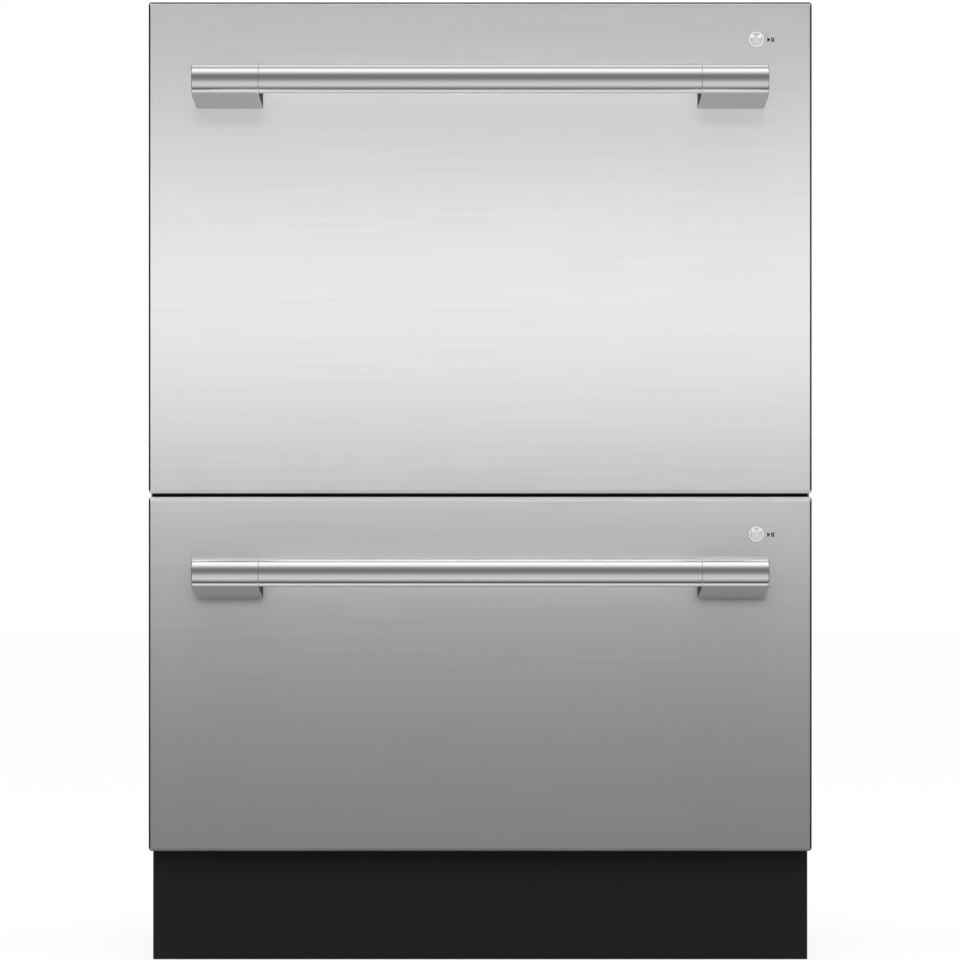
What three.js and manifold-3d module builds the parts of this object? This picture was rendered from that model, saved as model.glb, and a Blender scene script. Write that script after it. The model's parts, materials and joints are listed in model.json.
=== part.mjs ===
// Two-drawer built-in dishwasher, closed, in millimetres.
// +Z is up, the fronts face -Y, and the origin is on the floor under the middle of the whole machine.
// Inside this file y = 0 is the face of the fronts and z = 0 the floor; the last lines centre the depth.

import * as THREE from "three";
import { mergeVertices } from "three/addons/utils/BufferGeometryUtils.js";
import Module from "manifold-3d";

const wasm = await Module();
wasm.setup();

// ---------------------------------------------------------------------------
// Driving dimensions
// ---------------------------------------------------------------------------

const clearance = 0.3; // between pieces that touch or are screwed together
const overrun = 2; // how far a cutter runs past the wall that it cuts
const overlap = 1; // how far the joined shapes of one piece reach into each other

// Facets
const arcFacets = 4; // of a rounded corner or bend
const tipFacets = 6; // of the spray arm's round tips
const barFacets = 24; // round the handles
const roundFacets = 16; // of turned pieces
const smallFacets = 12; // of feet, spigots and small bores
const axleFacets = 8;
const hexagonFacets = 6;
const motorFacets = 20;
const weldReach = 1e-4; // corners this close are one corner before a cut
const finishReach = 5e-3; // and in the finished piece

// Fronts
const frontWidth = 599;
const upperFrontHeight = 444;
const lowerFrontHeight = 320;
const frontGap = 3; // between the two fronts
const frontDepth = 20; // folded edges, front face to back
const skinThickness = 1;
const topBendRadius = 4;
const bottomBendRadius = 3;
const sideBendRadius = 1.5;
const leastBend = 0.1; // inside a fold
const frontCornerRadius = 2.5; // of the face, seen from the front

// Cabinet
const toeKickHeight = 101.3; // floor to the lower front
const cabinetDepth = 573; // front face to the back plate
const cabinetInset = 1.5; // cabinet side inside the front's edge
const cabinetTopDrop = 4; // cabinet top below the upper front's edge
const shutGap = 3; // folded front to the cabinet's edge
const sheet = 1.2; // cabinet steel
const topFlangeDepth = 12;
const topFlangeInset = 37; // cabinet's front edge to the top's side flanges
const backPlateBottom = 110; // the connections stay open below it
const backStripWidth = 15; // on each side of that opening
const toeKickRecess = 55;
const toeKickSheet = 1.2;
const toeKickReturn = 18;
const toeKickFloorGap = 1;
const toeKickTopGap = 0.5;
const toeKickInset = 0.2; // inside the cabinet's side
const crossbarHeight = 13;
const crossbarOverlap = 2.5; // below the lower front's edge
const crossbarDepth = 40;

// Base tray and feet
const trayUnderside = 56;
const trayWall = 2;
const trayHeight = 38;
const connectionRecess = 40; // back plate to the tray's rear wall
const footSideInset = 46.3; // tray's side to a foot's axis
const footFrontInset = 38.5;
const footRearInset = 33;
const footPadRadius = 22;
const footPadHeight = 8;
const footPadChamfer = 2;
const footStemRadius = 5;
const footShoulderRadius = 11;
const footShoulderHeight = 10;
const footStemTop = 128;
const footPlay = 0.5; // stem to its boss
const footBossWall = 7;
const connectionHeight = 75; // floor to the middle of the connections
const drainX = 60;
const drainRadius = 11;
const drainWall = 3;
const drainLength = 30;
const drainBarb = 1.2;
const drainBarbPlaces = [0.5, 0.75]; // along the spigot
const valveX = 180;
const valveFlange = 34;
const valveFlangeThickness = 3;
const valveBodyRadius = 16;
const valveBodyLength = 10;
const valveThreadRadius = 13.2;
const valveThreadLength = 16;
const valveBoreRadius = 9;
const glandX = -180;
const glandFlangeRadius = 14;
const glandFlangeThickness = 3;
const glandRootRadius = 9.5;
const glandTipRadius = 6.5;
const glandLength = 24;
const glandBoreRadius = 4;

// Handles
const handleRadius = 13;
const handleWall = 4;
const handleStandoff = 58; // front face to the bar's axis
const handleSideInset = 41; // front's edge to the handle's end
const handleEndWidth = 60;
const handleSpigotLength = 20;
const postRise = 11.3; // the post's underside is this much lower at the front than at the bar
const postLean = 2.4; // a post ends this much nearer the middle at the front than at the bar
const upperHandleDrop = 72.4; // front's top edge to the bar's axis
const lowerHandleDrop = 67.3;

// Start button, in the front
const startSideInset = 50; // front's right edge to the button's centre
const startDrop = 33.6; // front's top edge to the button's centre
const startRadius = 5.4;
const startCollarWall = 1.2;
const startCollarProud = 0.4;
const startProud = 0.2;
const startFlange = 2;
const startFlangeThickness = 2;

// Front frame, behind the front, with the control panel on its top
const framePlate = 3;
const frameWall = 3;
const frameDepth = 51.7; // front face to the frame's back edge
const frameSideInset = 27.5; // front's edge to the frame's side
const framePlateInset = 2.5; // inside the folded edges, each side
const frameBottomRise = 20; // front's bottom edge to the frame's underside
const controlDrop = 10; // front's top edge to the control panel
const controlFall = 12; // fall of the control panel towards the tub
const powerSideInset = 84.5; // front's left edge to the button's centre
const powerRadius = 6;
const powerProud = 0.6;
const powerFlange = 2;
const powerFlangeThickness = 2;

// Tub
const tubWall = 3;
const tubRearSpace = 38; // tub's back wall to the cabinet's back
const tubCornerRadius = 45;
const tubFloorRise = 58; // front's bottom edge to the underside of the tub
const rimDrop = 48; // front's top edge to the rim
const rimFlange = 8;
const sumpRadius = 95;
const sumpDepth = 18;
const sumpSides = 24; // facets of the sump and of what fits in it
const seatLength = 80; // rail seats on the tub's sides
const seatHeight = 24;
const seatFrontInset = 90; // tub's front wall to the middle of the front seats
const seatRearInset = 95;
const padWidth = 12; // pads on the tub's front that the frame is screwed to
const padOverlap = 2; // of a pad past the frame's side
const padMargin = 10;
const ledgeLength = 30; // ledges that carry the basket
const ledgeHeight = 10;
const ledgeInset = 70;
const ledgeReach = 6.6; // of a ledge under the basket

// Slides: three nested channels on each side
const railFront = 28; // front face to the slide's front end
const railRearGap = 45; // slide's rear end to the cabinet's back
const railHalfHeight = 22.3;
const railWidth = 13.4; // whole slide, cabinet side to tub
const railGauge = 1.6;
const railPlay = 0.35;
const railRise = 40; // underside of the tub to the slide's middle

// Lid, which the cabinet carries over each tub
const lidThickness = 3;
const lidHeight = 22; // rim to the top of the lid's ribs
const lidRibWidth = 3;
const longRibPlace = 1 / 3; // of the lid's half width
const crossRibPlace = 0.4; // of the tub's half length
const crossRibDrop = 1; // below the long ribs
const lidLift = 6;
const sealWidth = 8;
const sealHeight = 8;
const sealInset = 2; // rim's edge to the seal
const earLength = 26;
const earOverlap = 10; // of an ear over the lid's plate
const earMargin = 2.2; // of an ear past its stud's hole
const studRadius = 3;
const studHeadRadius = 5;
const studHeadHeight = 2;
const carrierDepth = 30;
const carrierHeight = 9;
const carrierGap = 3; // lifted lid to its carrier

// Detergent dispenser in the tub's front wall
const dispenserX = 100;
const dispenserWidth = 112;
const dispenserHeight = 46;
const dispenserTopDrop = 18; // rim to the dispenser's top edge
const dispenserFlange = 4;
const dispenserFlangeThickness = 3;
const dispenserDepth = 30; // of the body in front of the tub's wall
const cupWall = 4;
const cupMargin = 8; // dispenser's edge to its cups
const cupShare = 0.6; // of the width that the main cup takes
const flapThickness = 2.5;
const flapMargin = 4;

// Filter, spray arm and wash motor
const filterOverlap = 6; // of the filter's edge on the tub's floor
const filterThickness = 2;
const filterSkirt = 10;
const filterSlotCount = 10;
const filterSlotInner = 30;
const filterSlotOuter = 80;
const filterSlotWidth = 3;
const spindleRadius = 6;
const spindleShoulderRadius = 12;
const sprayRise = 16; // tub floor to the underside of the spray arm's hub
const sprayHubHeight = 18;
const sprayHubRadius = 24;
const sprayWallGap = 19.5; // arm's tip to the tub's front wall
const sprayRootHalfWidth = 24;
const sprayTipHalfWidth = 14;
const sprayThickness = 8;
const sprayPlay = 0.4;
const nozzleCount = 3; // on each side of the hub
const nozzleLength = 10;
const nozzleWidth = 2.5;
const nozzleSpacing = 55;
const nozzleFirst = 65;
const motorRadius = 75;
const motorHeight = 26;
const motorNeckRadius = 60;
const motorNeckHeight = 6;

// Baskets
const basketFloorRise = 55; // tub floor to the basket's floor
const basketTopDrop = 22; // rim to the basket's rim
const basketSideGap = 14;
const basketFrontGap = 2; // open flap to the basket
const basketRearGap = 12;
const basketCornerRadius = 30;
const rimWire = 4.4;
const wire = 3.2;
const floorWirePitchX = 115;
const floorWirePitchY = 90;
const uprightPitch = 88;
const loopPitch = 140;
const tineHeight = 65;
const tinePitch = 42;
const tineMargin = 28;
const foldingTineX = -90;
const fixedTineX = 40;
const secondRowOffset = 120; // of the lower basket's second fixed row
const tineAxleRadius = 2;
const tineAxlePlay = 0.45; // axle to its clips
const tineClipLength = 8;
const tineClipWall = 3;

// Cutlery basket, in the upper drawer
const cutlerySideGap = 13.1; // from the basket's side
const cutleryWidth = 110;
const cutleryLength = 228;
const cutleryHeight = 100;
const cutleryWall = 2.4;
const cutleryGripWidth = 80;
const cutleryGripHeight = 46; // above the two cells that it divides
const cutleryGripThickness = 5;
const fingerHoleRise = 11.5; // cells' top to the finger hole
const fingerHoleMargin = 12;
const cutleryHoleWidth = 12;
const cutleryHoleLength = 24;
const cutleryHoleMargin = 24; // basket's side to the first holes' middle
const cutleryHolePitch = 36;

// ---------------------------------------------------------------------------
// Sizes worked out from the driving dimensions
// ---------------------------------------------------------------------------

const frontHalf = frontWidth / 2;
const cabinetHalf = frontHalf - cabinetInset;
const cabinetInner = cabinetHalf - sheet;
const insideHalf = cabinetInner - clearance; // half width of what is screwed between the sides
const lowerFrontBottom = toeKickHeight;
const lowerFrontTop = lowerFrontBottom + lowerFrontHeight;
const upperFrontBottom = lowerFrontTop + frontGap;
const upperFrontTop = upperFrontBottom + upperFrontHeight;
const cabinetTop = upperFrontTop - cabinetTopDrop;
const cabinetFront = frontDepth + shutGap;
const toeKickBack = toeKickRecess + toeKickSheet;
const trayFront = toeKickBack + clearance;
const toeKickHalf = cabinetHalf - toeKickInset;
const trayHalf = toeKickHalf - toeKickSheet - clearance; // between the toe kick's returns
const trayBack = cabinetDepth - connectionRecess;
const trayTop = trayUnderside + trayHeight;
const footX = trayHalf - footSideInset;
const footFrontY = trayFront + footFrontInset;
const footRearY = trayBack - footRearInset;

const handleLength = frontWidth - 2 * handleSideInset;
const startX = frontHalf - startSideInset;
const powerX = powerSideInset - frontHalf;
const frameHalfWidth = frontHalf - frameSideInset;
const railLength = cabinetDepth - railFront - railRearGap;

const rimHalf = cabinetInner - railWidth - clearance; // rim and rail seats
const tubHalf = rimHalf - rimFlange;
const tubInnerHalf = tubHalf - tubWall;
const rimFront = frameDepth + clearance;
const tubFront = rimFront + rimFlange;
const tubBack = cabinetDepth - tubRearSpace;
const tubLength = tubBack - tubFront;
const rimBack = tubBack + rimFlange;
const tubInnerFront = tubFront + tubWall;
const tubInnerBack = tubBack - tubWall;
const tubMiddleY = (tubFront + tubBack) / 2;
const tubFloor = tubFloorRise + tubWall; // above the front's bottom edge
const basketFloor = tubFloor + basketFloorRise;
const railMiddle = tubFloorRise + railRise;
const sprayArmLength = tubLength / 2 - tubWall - sprayWallGap;

const flapHeight = dispenserHeight - 2 * flapMargin;
const flapY = tubInnerFront + clearance + dispenserFlangeThickness + clearance;
const basketFront = flapY + flapThickness + flapHeight + basketFrontGap;
const basketBack = tubInnerBack - basketRearGap;
const basketHalf = tubInnerHalf - basketSideGap;
const cutleryX = basketHalf - cutlerySideGap - cutleryWidth / 2;

const studX = (rimHalf + cabinetInner) / 2;
const studHole = studRadius + clearance;
const lidRise = sealHeight + 2 * clearance; // rim to the underside of the lid
const carrierRise = lidHeight + lidLift + carrierGap; // rim to the carrier's underside
const carrierSpan = around(tubMiddleY, carrierDepth);

const bays = [
  {
    name: "upper",
    bottom: upperFrontBottom,
    height: upperFrontHeight,
    handleDrop: upperHandleDrop,
    fixedTines: [fixedTineX],
    cutlery: true,
  },
  {
    name: "lower",
    bottom: lowerFrontBottom,
    height: lowerFrontHeight,
    handleDrop: lowerHandleDrop,
    fixedTines: [fixedTineX, fixedTineX + secondRowOffset],
    cutlery: false,
  },
];

// ---------------------------------------------------------------------------
// Solids
// ---------------------------------------------------------------------------

// The same geometry with its shared vertices merged, and without the triangles that this leaves empty.
function merged(geometry, reach) {
  const bare = new THREE.BufferGeometry();
  bare.setAttribute("position", geometry.getAttribute("position"));
  bare.setIndex(geometry.getIndex());
  const whole = mergeVertices(bare, reach);
  const corners = whole.getIndex().array;
  const faces = [];
  for (let i = 0; i < corners.length; i += 3) {
    const [a, b, c] = corners.slice(i, i + 3);
    if (a !== b && b !== c && c !== a) {
      faces.push(a, b, c);
    }
  }
  whole.setIndex(new THREE.BufferAttribute(new Uint32Array(faces), 1));
  return whole;
}

// A closed geometry as a solid that can be joined and cut.
function solid(geometry) {
  const whole = merged(geometry, weldReach);
  const vertProperties = new Float32Array(whole.getAttribute("position").array);
  return new wasm.Manifold(new wasm.Mesh({ numProp: 3, vertProperties, triVerts: whole.getIndex().array }));
}

function geometryOf(shape) {
  const { vertProperties, triVerts } = shape.getMesh();
  const cut = new THREE.BufferGeometry();
  cut.setAttribute("position", new THREE.BufferAttribute(new Float32Array(vertProperties), 3));
  cut.setIndex(new THREE.BufferAttribute(new Uint32Array(triVerts), 1));
  const geometry = merged(cut, finishReach);
  geometry.computeVertexNormals();
  return geometry;
}

function joined(shapes) {
  return shapes.reduce((whole, shape) => whole.add(shape));
}

// A box between two values on each axis, given in either order.
function block([x0, x1], [y0, y1], [z0, z1]) {
  const box = new THREE.BoxGeometry(Math.abs(x1 - x0), Math.abs(y1 - y0), Math.abs(z1 - z0));
  return solid(box.translate((x0 + x1) / 2, (y0 + y1) / 2, (z0 + z1) / 2));
}

// Where an outline's two directions and its extrusion point: (y, z) along x, (x, z) along y, (x, y) along z.
const frames = {
  x: [new THREE.Vector3(0, 1, 0), new THREE.Vector3(0, 0, 1), new THREE.Vector3(1, 0, 0)],
  y: [new THREE.Vector3(1, 0, 0), new THREE.Vector3(0, 0, 1), new THREE.Vector3(0, -1, 0)],
  z: [new THREE.Vector3(1, 0, 0), new THREE.Vector3(0, 1, 0), new THREE.Vector3(0, 0, 1)],
};

// An outline pushed along one axis; each of its arcs has the given count of facets.
function pushed(outline, axis, from, to, facets = arcFacets) {
  const options = { depth: to - from, bevelEnabled: false, curveSegments: facets / 2 };
  const geometry = new THREE.ExtrudeGeometry(outline, options);
  const start = frames[axis][2].clone().multiplyScalar(axis === "y" ? -to : from);
  return geometry.applyMatrix4(new THREE.Matrix4().makeBasis(...frames[axis]).setPosition(start));
}

function prism(...push) {
  return solid(pushed(...push));
}

function polygon(points) {
  return new THREE.Shape(points.map(([u, v]) => new THREE.Vector2(u, v)));
}

function roundedRect(u0, u1, v0, v1, radius, Kind = THREE.Shape) {
  const quarter = Math.PI / 2;
  const outline = new Kind();
  outline.moveTo(u0 + radius, v0);
  outline.lineTo(u1 - radius, v0);
  outline.absarc(u1 - radius, v0 + radius, radius, -quarter, 0, false);
  outline.lineTo(u1, v1 - radius);
  outline.absarc(u1 - radius, v1 - radius, radius, 0, quarter, false);
  outline.lineTo(u0 + radius, v1);
  outline.absarc(u0 + radius, v1 - radius, radius, quarter, 2 * quarter, false);
  outline.lineTo(u0, v0 + radius);
  outline.absarc(u0 + radius, v0 + radius, radius, 2 * quarter, 3 * quarter, false);
  return outline;
}

// A channel's outline in plan: its web lies across at one depth, and its two legs run to the other.
function channelPlan(half, web, legs, wall) {
  const inside = web + Math.sign(legs - web) * wall;
  return polygon([
    [-half, legs],
    [-half, web],
    [half, web],
    [half, legs],
    [half - wall, legs],
    [half - wall, inside],
    [wall - half, inside],
    [wall - half, legs],
  ]);
}

// A flat ring that follows a rounded rectangle, with its wall inside the given outline.
function rectRing(u0, u1, v0, v1, radius, wall) {
  const ring = roundedRect(u0, u1, v0, v1, radius);
  ring.holes.push(roundedRect(u0 + wall, u1 - wall, v0 + wall, v1 - wall, radius - wall, THREE.Path));
  return ring;
}

const turns = {
  x: (geometry) => geometry.rotateZ(-Math.PI / 2),
  y: (geometry) => geometry,
  z: (geometry) => geometry.rotateX(Math.PI / 2),
};

// A turned solid: its profile lists [radius, place along the axis] from the axis round to the axis again.
function turned(profile, axis, centre = [0, 0, 0], facets = roundFacets) {
  const points = profile.map(([radius, place]) => new THREE.Vector2(radius, place));
  const geometry = turns[axis](new THREE.LatheGeometry(points, facets));
  return solid(geometry.translate(...centre));
}

function rod(axis, radius, from, to, centre = [0, 0, 0], facets = roundFacets) {
  return turned([[0, from], [radius, from], [radius, to], [0, to]], axis, centre, facets);
}

// The same solid on both sides of the middle.
function bothSides(make) {
  return make(-1).add(make(1));
}

// A span with both its ends moved outwards.
function grown([from, to], by) {
  return [from - by, to + by];
}

// A span of the given length round its middle.
function around(middle, length) {
  return grown([middle, middle], length / 2);
}

// Evenly spaced places from one end to the other, both included, at most a pitch apart.
function spread(from, to, pitch) {
  const count = Math.max(1, Math.ceil((to - from) / pitch));
  return Array.from({ length: count + 1 }, (_, i) => from + ((to - from) * i) / count);
}

// ---------------------------------------------------------------------------
// Materials
// ---------------------------------------------------------------------------

const finishes = {
  frontSteel: { color: 0xc2c3c4, roughness: 0.32, metalness: 1 },
  handleSteel: { color: 0xc9cacb, roughness: 0.18, metalness: 1 },
  buttonMetal: { color: 0xd5d5d4, roughness: 0.25, metalness: 1 },
  galvanised: { color: 0xa3a8ab, roughness: 0.45, metalness: 0.9 },
  blackSteel: { color: 0x1d1d1e, roughness: 0.55, metalness: 0.2 },
  railSteel: { color: 0xb4b8ba, roughness: 0.35, metalness: 1 },
  tubPlastic: { color: 0xc9ccce, roughness: 0.4, metalness: 0 },
  framePlastic: { color: 0x3a3c3f, roughness: 0.5, metalness: 0 },
  lidPlastic: { color: 0xb9bdc0, roughness: 0.45, metalness: 0 },
  sealRubber: { color: 0x4a4c4e, roughness: 0.8, metalness: 0 },
  coatedWire: { color: 0xdadde0, roughness: 0.35, metalness: 0 },
  greyPlastic: { color: 0x8b9196, roughness: 0.5, metalness: 0 },
  sprayPlastic: { color: 0x6d747a, roughness: 0.45, metalness: 0 },
  motorPlastic: { color: 0x2b2c2e, roughness: 0.6, metalness: 0 },
  brass: { color: 0xb9975a, roughness: 0.35, metalness: 1 },
};

function mesh(name, shape, finish) {
  const piece = new THREE.Mesh(geometryOf(shape), new THREE.MeshStandardMaterial(finishes[finish]));
  piece.name = name;
  return piece;
}

// ---------------------------------------------------------------------------
// Cabinet
// ---------------------------------------------------------------------------

function cabinetWrapper() {
  const top = cabinetTop - sheet - clearance;
  const walls = prism(channelPlan(cabinetHalf, cabinetDepth, cabinetFront, sheet), "z", trayUnderside, top);
  const notchBack = toeKickBack + toeKickReturn + clearance;
  const notch = block(grown([-cabinetHalf, cabinetHalf], overrun), [cabinetFront - overrun, notchBack],
    [trayUnderside - overrun, toeKickHeight]);
  const windowHalf = cabinetInner - backStripWidth;
  const backWindow = block([-windowHalf, windowHalf], grown([cabinetDepth - sheet, cabinetDepth], overrun),
    [trayUnderside - overrun, backPlateBottom]);
  return walls.subtract(notch).subtract(backWindow);
}

function cabinetTopPlate() {
  const underside = cabinetTop - sheet;
  const plate = block([-cabinetHalf, cabinetHalf], [cabinetFront, cabinetDepth], [underside, cabinetTop]);
  const flangeBack = cabinetDepth - sheet - clearance;
  const plan = channelPlan(insideHalf, flangeBack, cabinetFront + topFlangeInset, sheet);
  const flanges = prism(plan, "z", underside - topFlangeDepth, underside + sheet / 2);
  const carrierBottom = upperFrontTop - rimDrop + carrierRise;
  const notch = block([-cabinetHalf, cabinetHalf], grown(carrierSpan, clearance),
    grown([carrierBottom - topFlangeDepth, carrierBottom + carrierHeight], clearance));
  return plate.add(flanges).subtract(notch);
}

function centreCrossbar() {
  const bottom = lowerFrontTop - crossbarOverlap;
  const outline = polygon([
    [cabinetFront, bottom],
    [cabinetFront + sheet, bottom],
    [cabinetFront + sheet, bottom + crossbarHeight - sheet],
    [cabinetFront + crossbarDepth - sheet, bottom + crossbarHeight - sheet],
    [cabinetFront + crossbarDepth - sheet, bottom],
    [cabinetFront + crossbarDepth, bottom],
    [cabinetFront + crossbarDepth, bottom + crossbarHeight],
    [cabinetFront, bottom + crossbarHeight],
  ]);
  return prism(outline, "x", -insideHalf, insideHalf);
}

function toeKick() {
  const plan = channelPlan(toeKickHalf, toeKickRecess, toeKickBack + toeKickReturn, toeKickSheet);
  return prism(plan, "z", toeKickFloorGap, toeKickHeight - toeKickTopGap);
}

const footPlaces = [
  ["foot_front_left", -footX, footFrontY],
  ["foot_front_right", footX, footFrontY],
  ["foot_rear_left", -footX, footRearY],
  ["foot_rear_right", footX, footRearY],
];

function foot() {
  const shoulderTop = trayUnderside - clearance;
  const body = turned([
    [0, 0],
    [footPadRadius - footPadChamfer, 0],
    [footPadRadius, footPadChamfer],
    [footPadRadius, footPadHeight - footPadChamfer],
    [footPadRadius - footPadChamfer, footPadHeight],
    [footStemRadius, footPadHeight],
    [footStemRadius, footStemTop],
    [0, footStemTop],
  ], "z", [0, 0, 0], smallFacets);
  const shoulderSpan = [shoulderTop - footShoulderHeight, shoulderTop];
  return body.add(rod("z", footShoulderRadius, ...shoulderSpan, [0, 0, 0], hexagonFacets));
}

function baseTray() {
  const outer = block([-trayHalf, trayHalf], [trayFront, trayBack], [trayUnderside, trayTop]);
  const inner = block(grown([-trayHalf, trayHalf], -trayWall), grown([trayFront, trayBack], -trayWall),
    [trayUnderside + trayWall, trayTop + overrun]);
  const bossTop = trayTop - trayWall;
  let tray = outer.subtract(inner);
  for (const [, x, y] of footPlaces) {
    const boss = rod("z", footStemRadius + footBossWall, trayUnderside, bossTop, [x, y, 0], smallFacets);
    const boreSpan = grown([trayUnderside, bossTop], overrun);
    const bore = rod("z", footStemRadius + footPlay, ...boreSpan, [x, y, 0], smallFacets);
    tray = tray.add(boss).subtract(bore);
  }
  const drain = [drainX, 0, connectionHeight];
  const drainSpan = [trayBack - trayWall, trayBack + drainLength];
  const [firstBarb, secondBarb] = drainBarbPlaces.map((place) => trayBack + drainLength * place);
  const spigot = turned([
    [0, drainSpan[0]],
    [drainRadius, drainSpan[0]],
    [drainRadius, firstBarb],
    [drainRadius + drainBarb, firstBarb],
    [drainRadius, secondBarb],
    [drainRadius + drainBarb, secondBarb],
    [drainRadius, drainSpan[1]],
    [0, drainSpan[1]],
  ], "y", drain, smallFacets);
  const drainBore = rod("y", drainRadius - drainWall, ...grown(drainSpan, overrun), drain, smallFacets);
  return tray.add(spigot).subtract(drainBore);
}

function waterInletValve() {
  const start = trayBack + clearance;
  const flange = block(around(valveX, valveFlange), [start, start + valveFlangeThickness],
    around(connectionHeight, valveFlange));
  const centre = [valveX, 0, connectionHeight];
  const bodyEnd = start + valveFlangeThickness + valveBodyLength;
  const threadEnd = bodyEnd + valveThreadLength;
  const bodyStart = start + valveFlangeThickness - overlap;
  const body = rod("y", valveBodyRadius, bodyStart, bodyEnd, centre, hexagonFacets);
  const thread = rod("y", valveThreadRadius, bodyEnd - overlap, threadEnd, centre);
  const bore = rod("y", valveBoreRadius, bodyEnd, threadEnd + overrun, centre);
  return joined([flange, body, thread]).subtract(bore);
}

function powerCordGland() {
  const start = trayBack + clearance;
  const end = start + glandFlangeThickness + glandLength;
  const centre = [glandX, 0, connectionHeight];
  const body = turned([
    [0, start],
    [glandFlangeRadius, start],
    [glandFlangeRadius, start + glandFlangeThickness],
    [glandRootRadius, start + glandFlangeThickness],
    [glandTipRadius, end],
    [0, end],
  ], "y", centre);
  return body.subtract(rod("y", glandBoreRadius, start + glandFlangeThickness, end + overrun, centre));
}

// A bar between the cabinet's sides that the lid hangs from on two headed studs.
function lidCarrier(bay) {
  const rim = bay.bottom + bay.height - rimDrop;
  const underside = rim + carrierRise;
  const bar = block([-insideHalf, insideHalf], carrierSpan, [underside, underside + carrierHeight]);
  const headTop = rim + lidRise - clearance;
  const studs = bothSides((side) => {
    const centre = [side * studX, tubMiddleY, 0];
    const head = rod("z", studHeadRadius, headTop - studHeadHeight, headTop, centre);
    const stem = rod("z", studRadius, headTop - studHeadHeight / 2, underside + carrierHeight / 2, centre);
    return head.add(stem);
  });
  return bar.add(studs);
}

// ---------------------------------------------------------------------------
// Slides
// ---------------------------------------------------------------------------

// One channel of a slide on one side. Its web and lips are placed by their distance from the cabinet's side.
function channel(side, webOuter, webInner, lip, halfHeight, middle, front = railFront) {
  const x = (distance) => side * (cabinetInner - distance);
  const inner = halfHeight - railGauge;
  const outline = polygon([
    [x(webOuter), middle - halfHeight],
    [x(lip), middle - halfHeight],
    [x(lip), middle - inner],
    [x(webInner), middle - inner],
    [x(webInner), middle + inner],
    [x(lip), middle + inner],
    [x(lip), middle + halfHeight],
    [x(webOuter), middle + halfHeight],
  ]);
  return prism(outline, "y", front, front + railLength);
}

const outerWeb = clearance;
const middleWeb = outerWeb + railGauge + railPlay;
const innerWeb = railWidth - railGauge;
const middleHalfHeight = railHalfHeight - railGauge - railPlay;
const innerHalfHeight = middleHalfHeight - railGauge - railPlay;

function railOuter(side, middle) {
  return channel(side, outerWeb, outerWeb + railGauge, innerWeb - railPlay, railHalfHeight, middle);
}

function railMiddlePiece(side, middle) {
  return channel(side, middleWeb, middleWeb + railGauge, innerWeb - railPlay, middleHalfHeight, middle);
}

function railInner(side, middle) {
  return channel(side, railWidth, innerWeb, middleWeb + railGauge + railPlay, innerHalfHeight, middle);
}

// ---------------------------------------------------------------------------
// Drawer: front, handle and frame. z is measured from the front's bottom edge.
// ---------------------------------------------------------------------------

// The folded front's outside, or its hollow when it is inset by the skin.
function frontEnvelope(height, inset) {
  const quarter = Math.PI / 2;
  const bend = (radius) => Math.max(radius - inset, leastBend);
  const half = frontHalf - inset;
  const [low, high] = [inset, height - inset];
  const back = frontDepth + (inset > 0 ? overrun : 0);
  const [bottomBend, topBend, sideBend] = [bottomBendRadius, topBendRadius, sideBendRadius].map(bend);

  const section = new THREE.Shape();
  section.moveTo(back, low);
  section.lineTo(inset + bottomBend, low);
  section.absarc(inset + bottomBend, low + bottomBend, bottomBend, -quarter, -2 * quarter, true);
  section.lineTo(inset, high - topBend);
  section.absarc(inset + topBend, high - topBend, topBend, 2 * quarter, quarter, true);
  section.lineTo(back, high);

  const plan = new THREE.Shape();
  plan.moveTo(-half, back);
  plan.lineTo(-half, inset + sideBend);
  plan.absarc(-half + sideBend, inset + sideBend, sideBend, 2 * quarter, 3 * quarter, false);
  plan.lineTo(half - sideBend, inset);
  plan.absarc(half - sideBend, inset + sideBend, sideBend, 3 * quarter, 4 * quarter, false);
  plan.lineTo(half, back);

  const face = roundedRect(-half, half, low, high, bend(frontCornerRadius));
  return prism(section, "x", -half, half)
    .intersect(prism(plan, "z", low, high))
    .intersect(prism(face, "y", inset, back));
}

const collarRadius = startRadius + clearance + startCollarWall;

function startCentre(height) {
  return [startX, 0, height - startDrop];
}

function frontSkin(height) {
  const hole = rod("y", collarRadius + clearance, -overrun, frontDepth / 2, startCentre(height));
  return frontEnvelope(height, 0).subtract(frontEnvelope(height, skinThickness)).subtract(hole);
}

function handleBar() {
  const half = handleLength / 2 - handleEndWidth - clearance;
  const bore = rod("x", handleRadius - handleWall, -half - overrun, half + overrun);
  return rod("x", handleRadius, -half, half, [0, 0, 0], barFacets).subtract(bore);
}

// The round end of the bar, with the post behind it that leans inwards from the bar's back on.
function handleEnd(side) {
  const outer = handleLength / 2;
  const inner = outer - handleEndWidth;
  const span = side > 0 ? [inner, outer] : [-outer, -inner];
  const postBack = handleStandoff - clearance;
  const postLength = postBack - handleRadius;
  const undersideAtBar = -handleRadius - (postRise * handleRadius) / postBack;
  const nose = new THREE.Shape();
  nose.moveTo(0, handleRadius);
  nose.absarc(0, 0, handleRadius, Math.PI / 2, (3 * Math.PI) / 2, false);
  nose.lineTo(handleRadius, undersideAtBar);
  nose.lineTo(handleRadius, handleRadius);
  const post = pushed(polygon([
    [0, undersideAtBar],
    [postLength, -handleRadius - postRise],
    [postLength, handleRadius],
    [0, handleRadius],
  ]), "x", ...span);
  post.applyMatrix4(new THREE.Matrix4().makeShear(0, 0, (-side * postLean) / postLength, 0, 0, 0));
  post.translate(0, handleRadius, 0);
  const spigotTip = inner - handleSpigotLength;
  const spigotSpan = side > 0 ? [spigotTip, inner + overlap] : [-inner - overlap, -spigotTip];
  const spigot = rod("x", handleRadius - handleWall - clearance, ...spigotSpan);
  return joined([prism(nose, "x", ...span, barFacets / 2), solid(post), spigot]);
}

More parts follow.
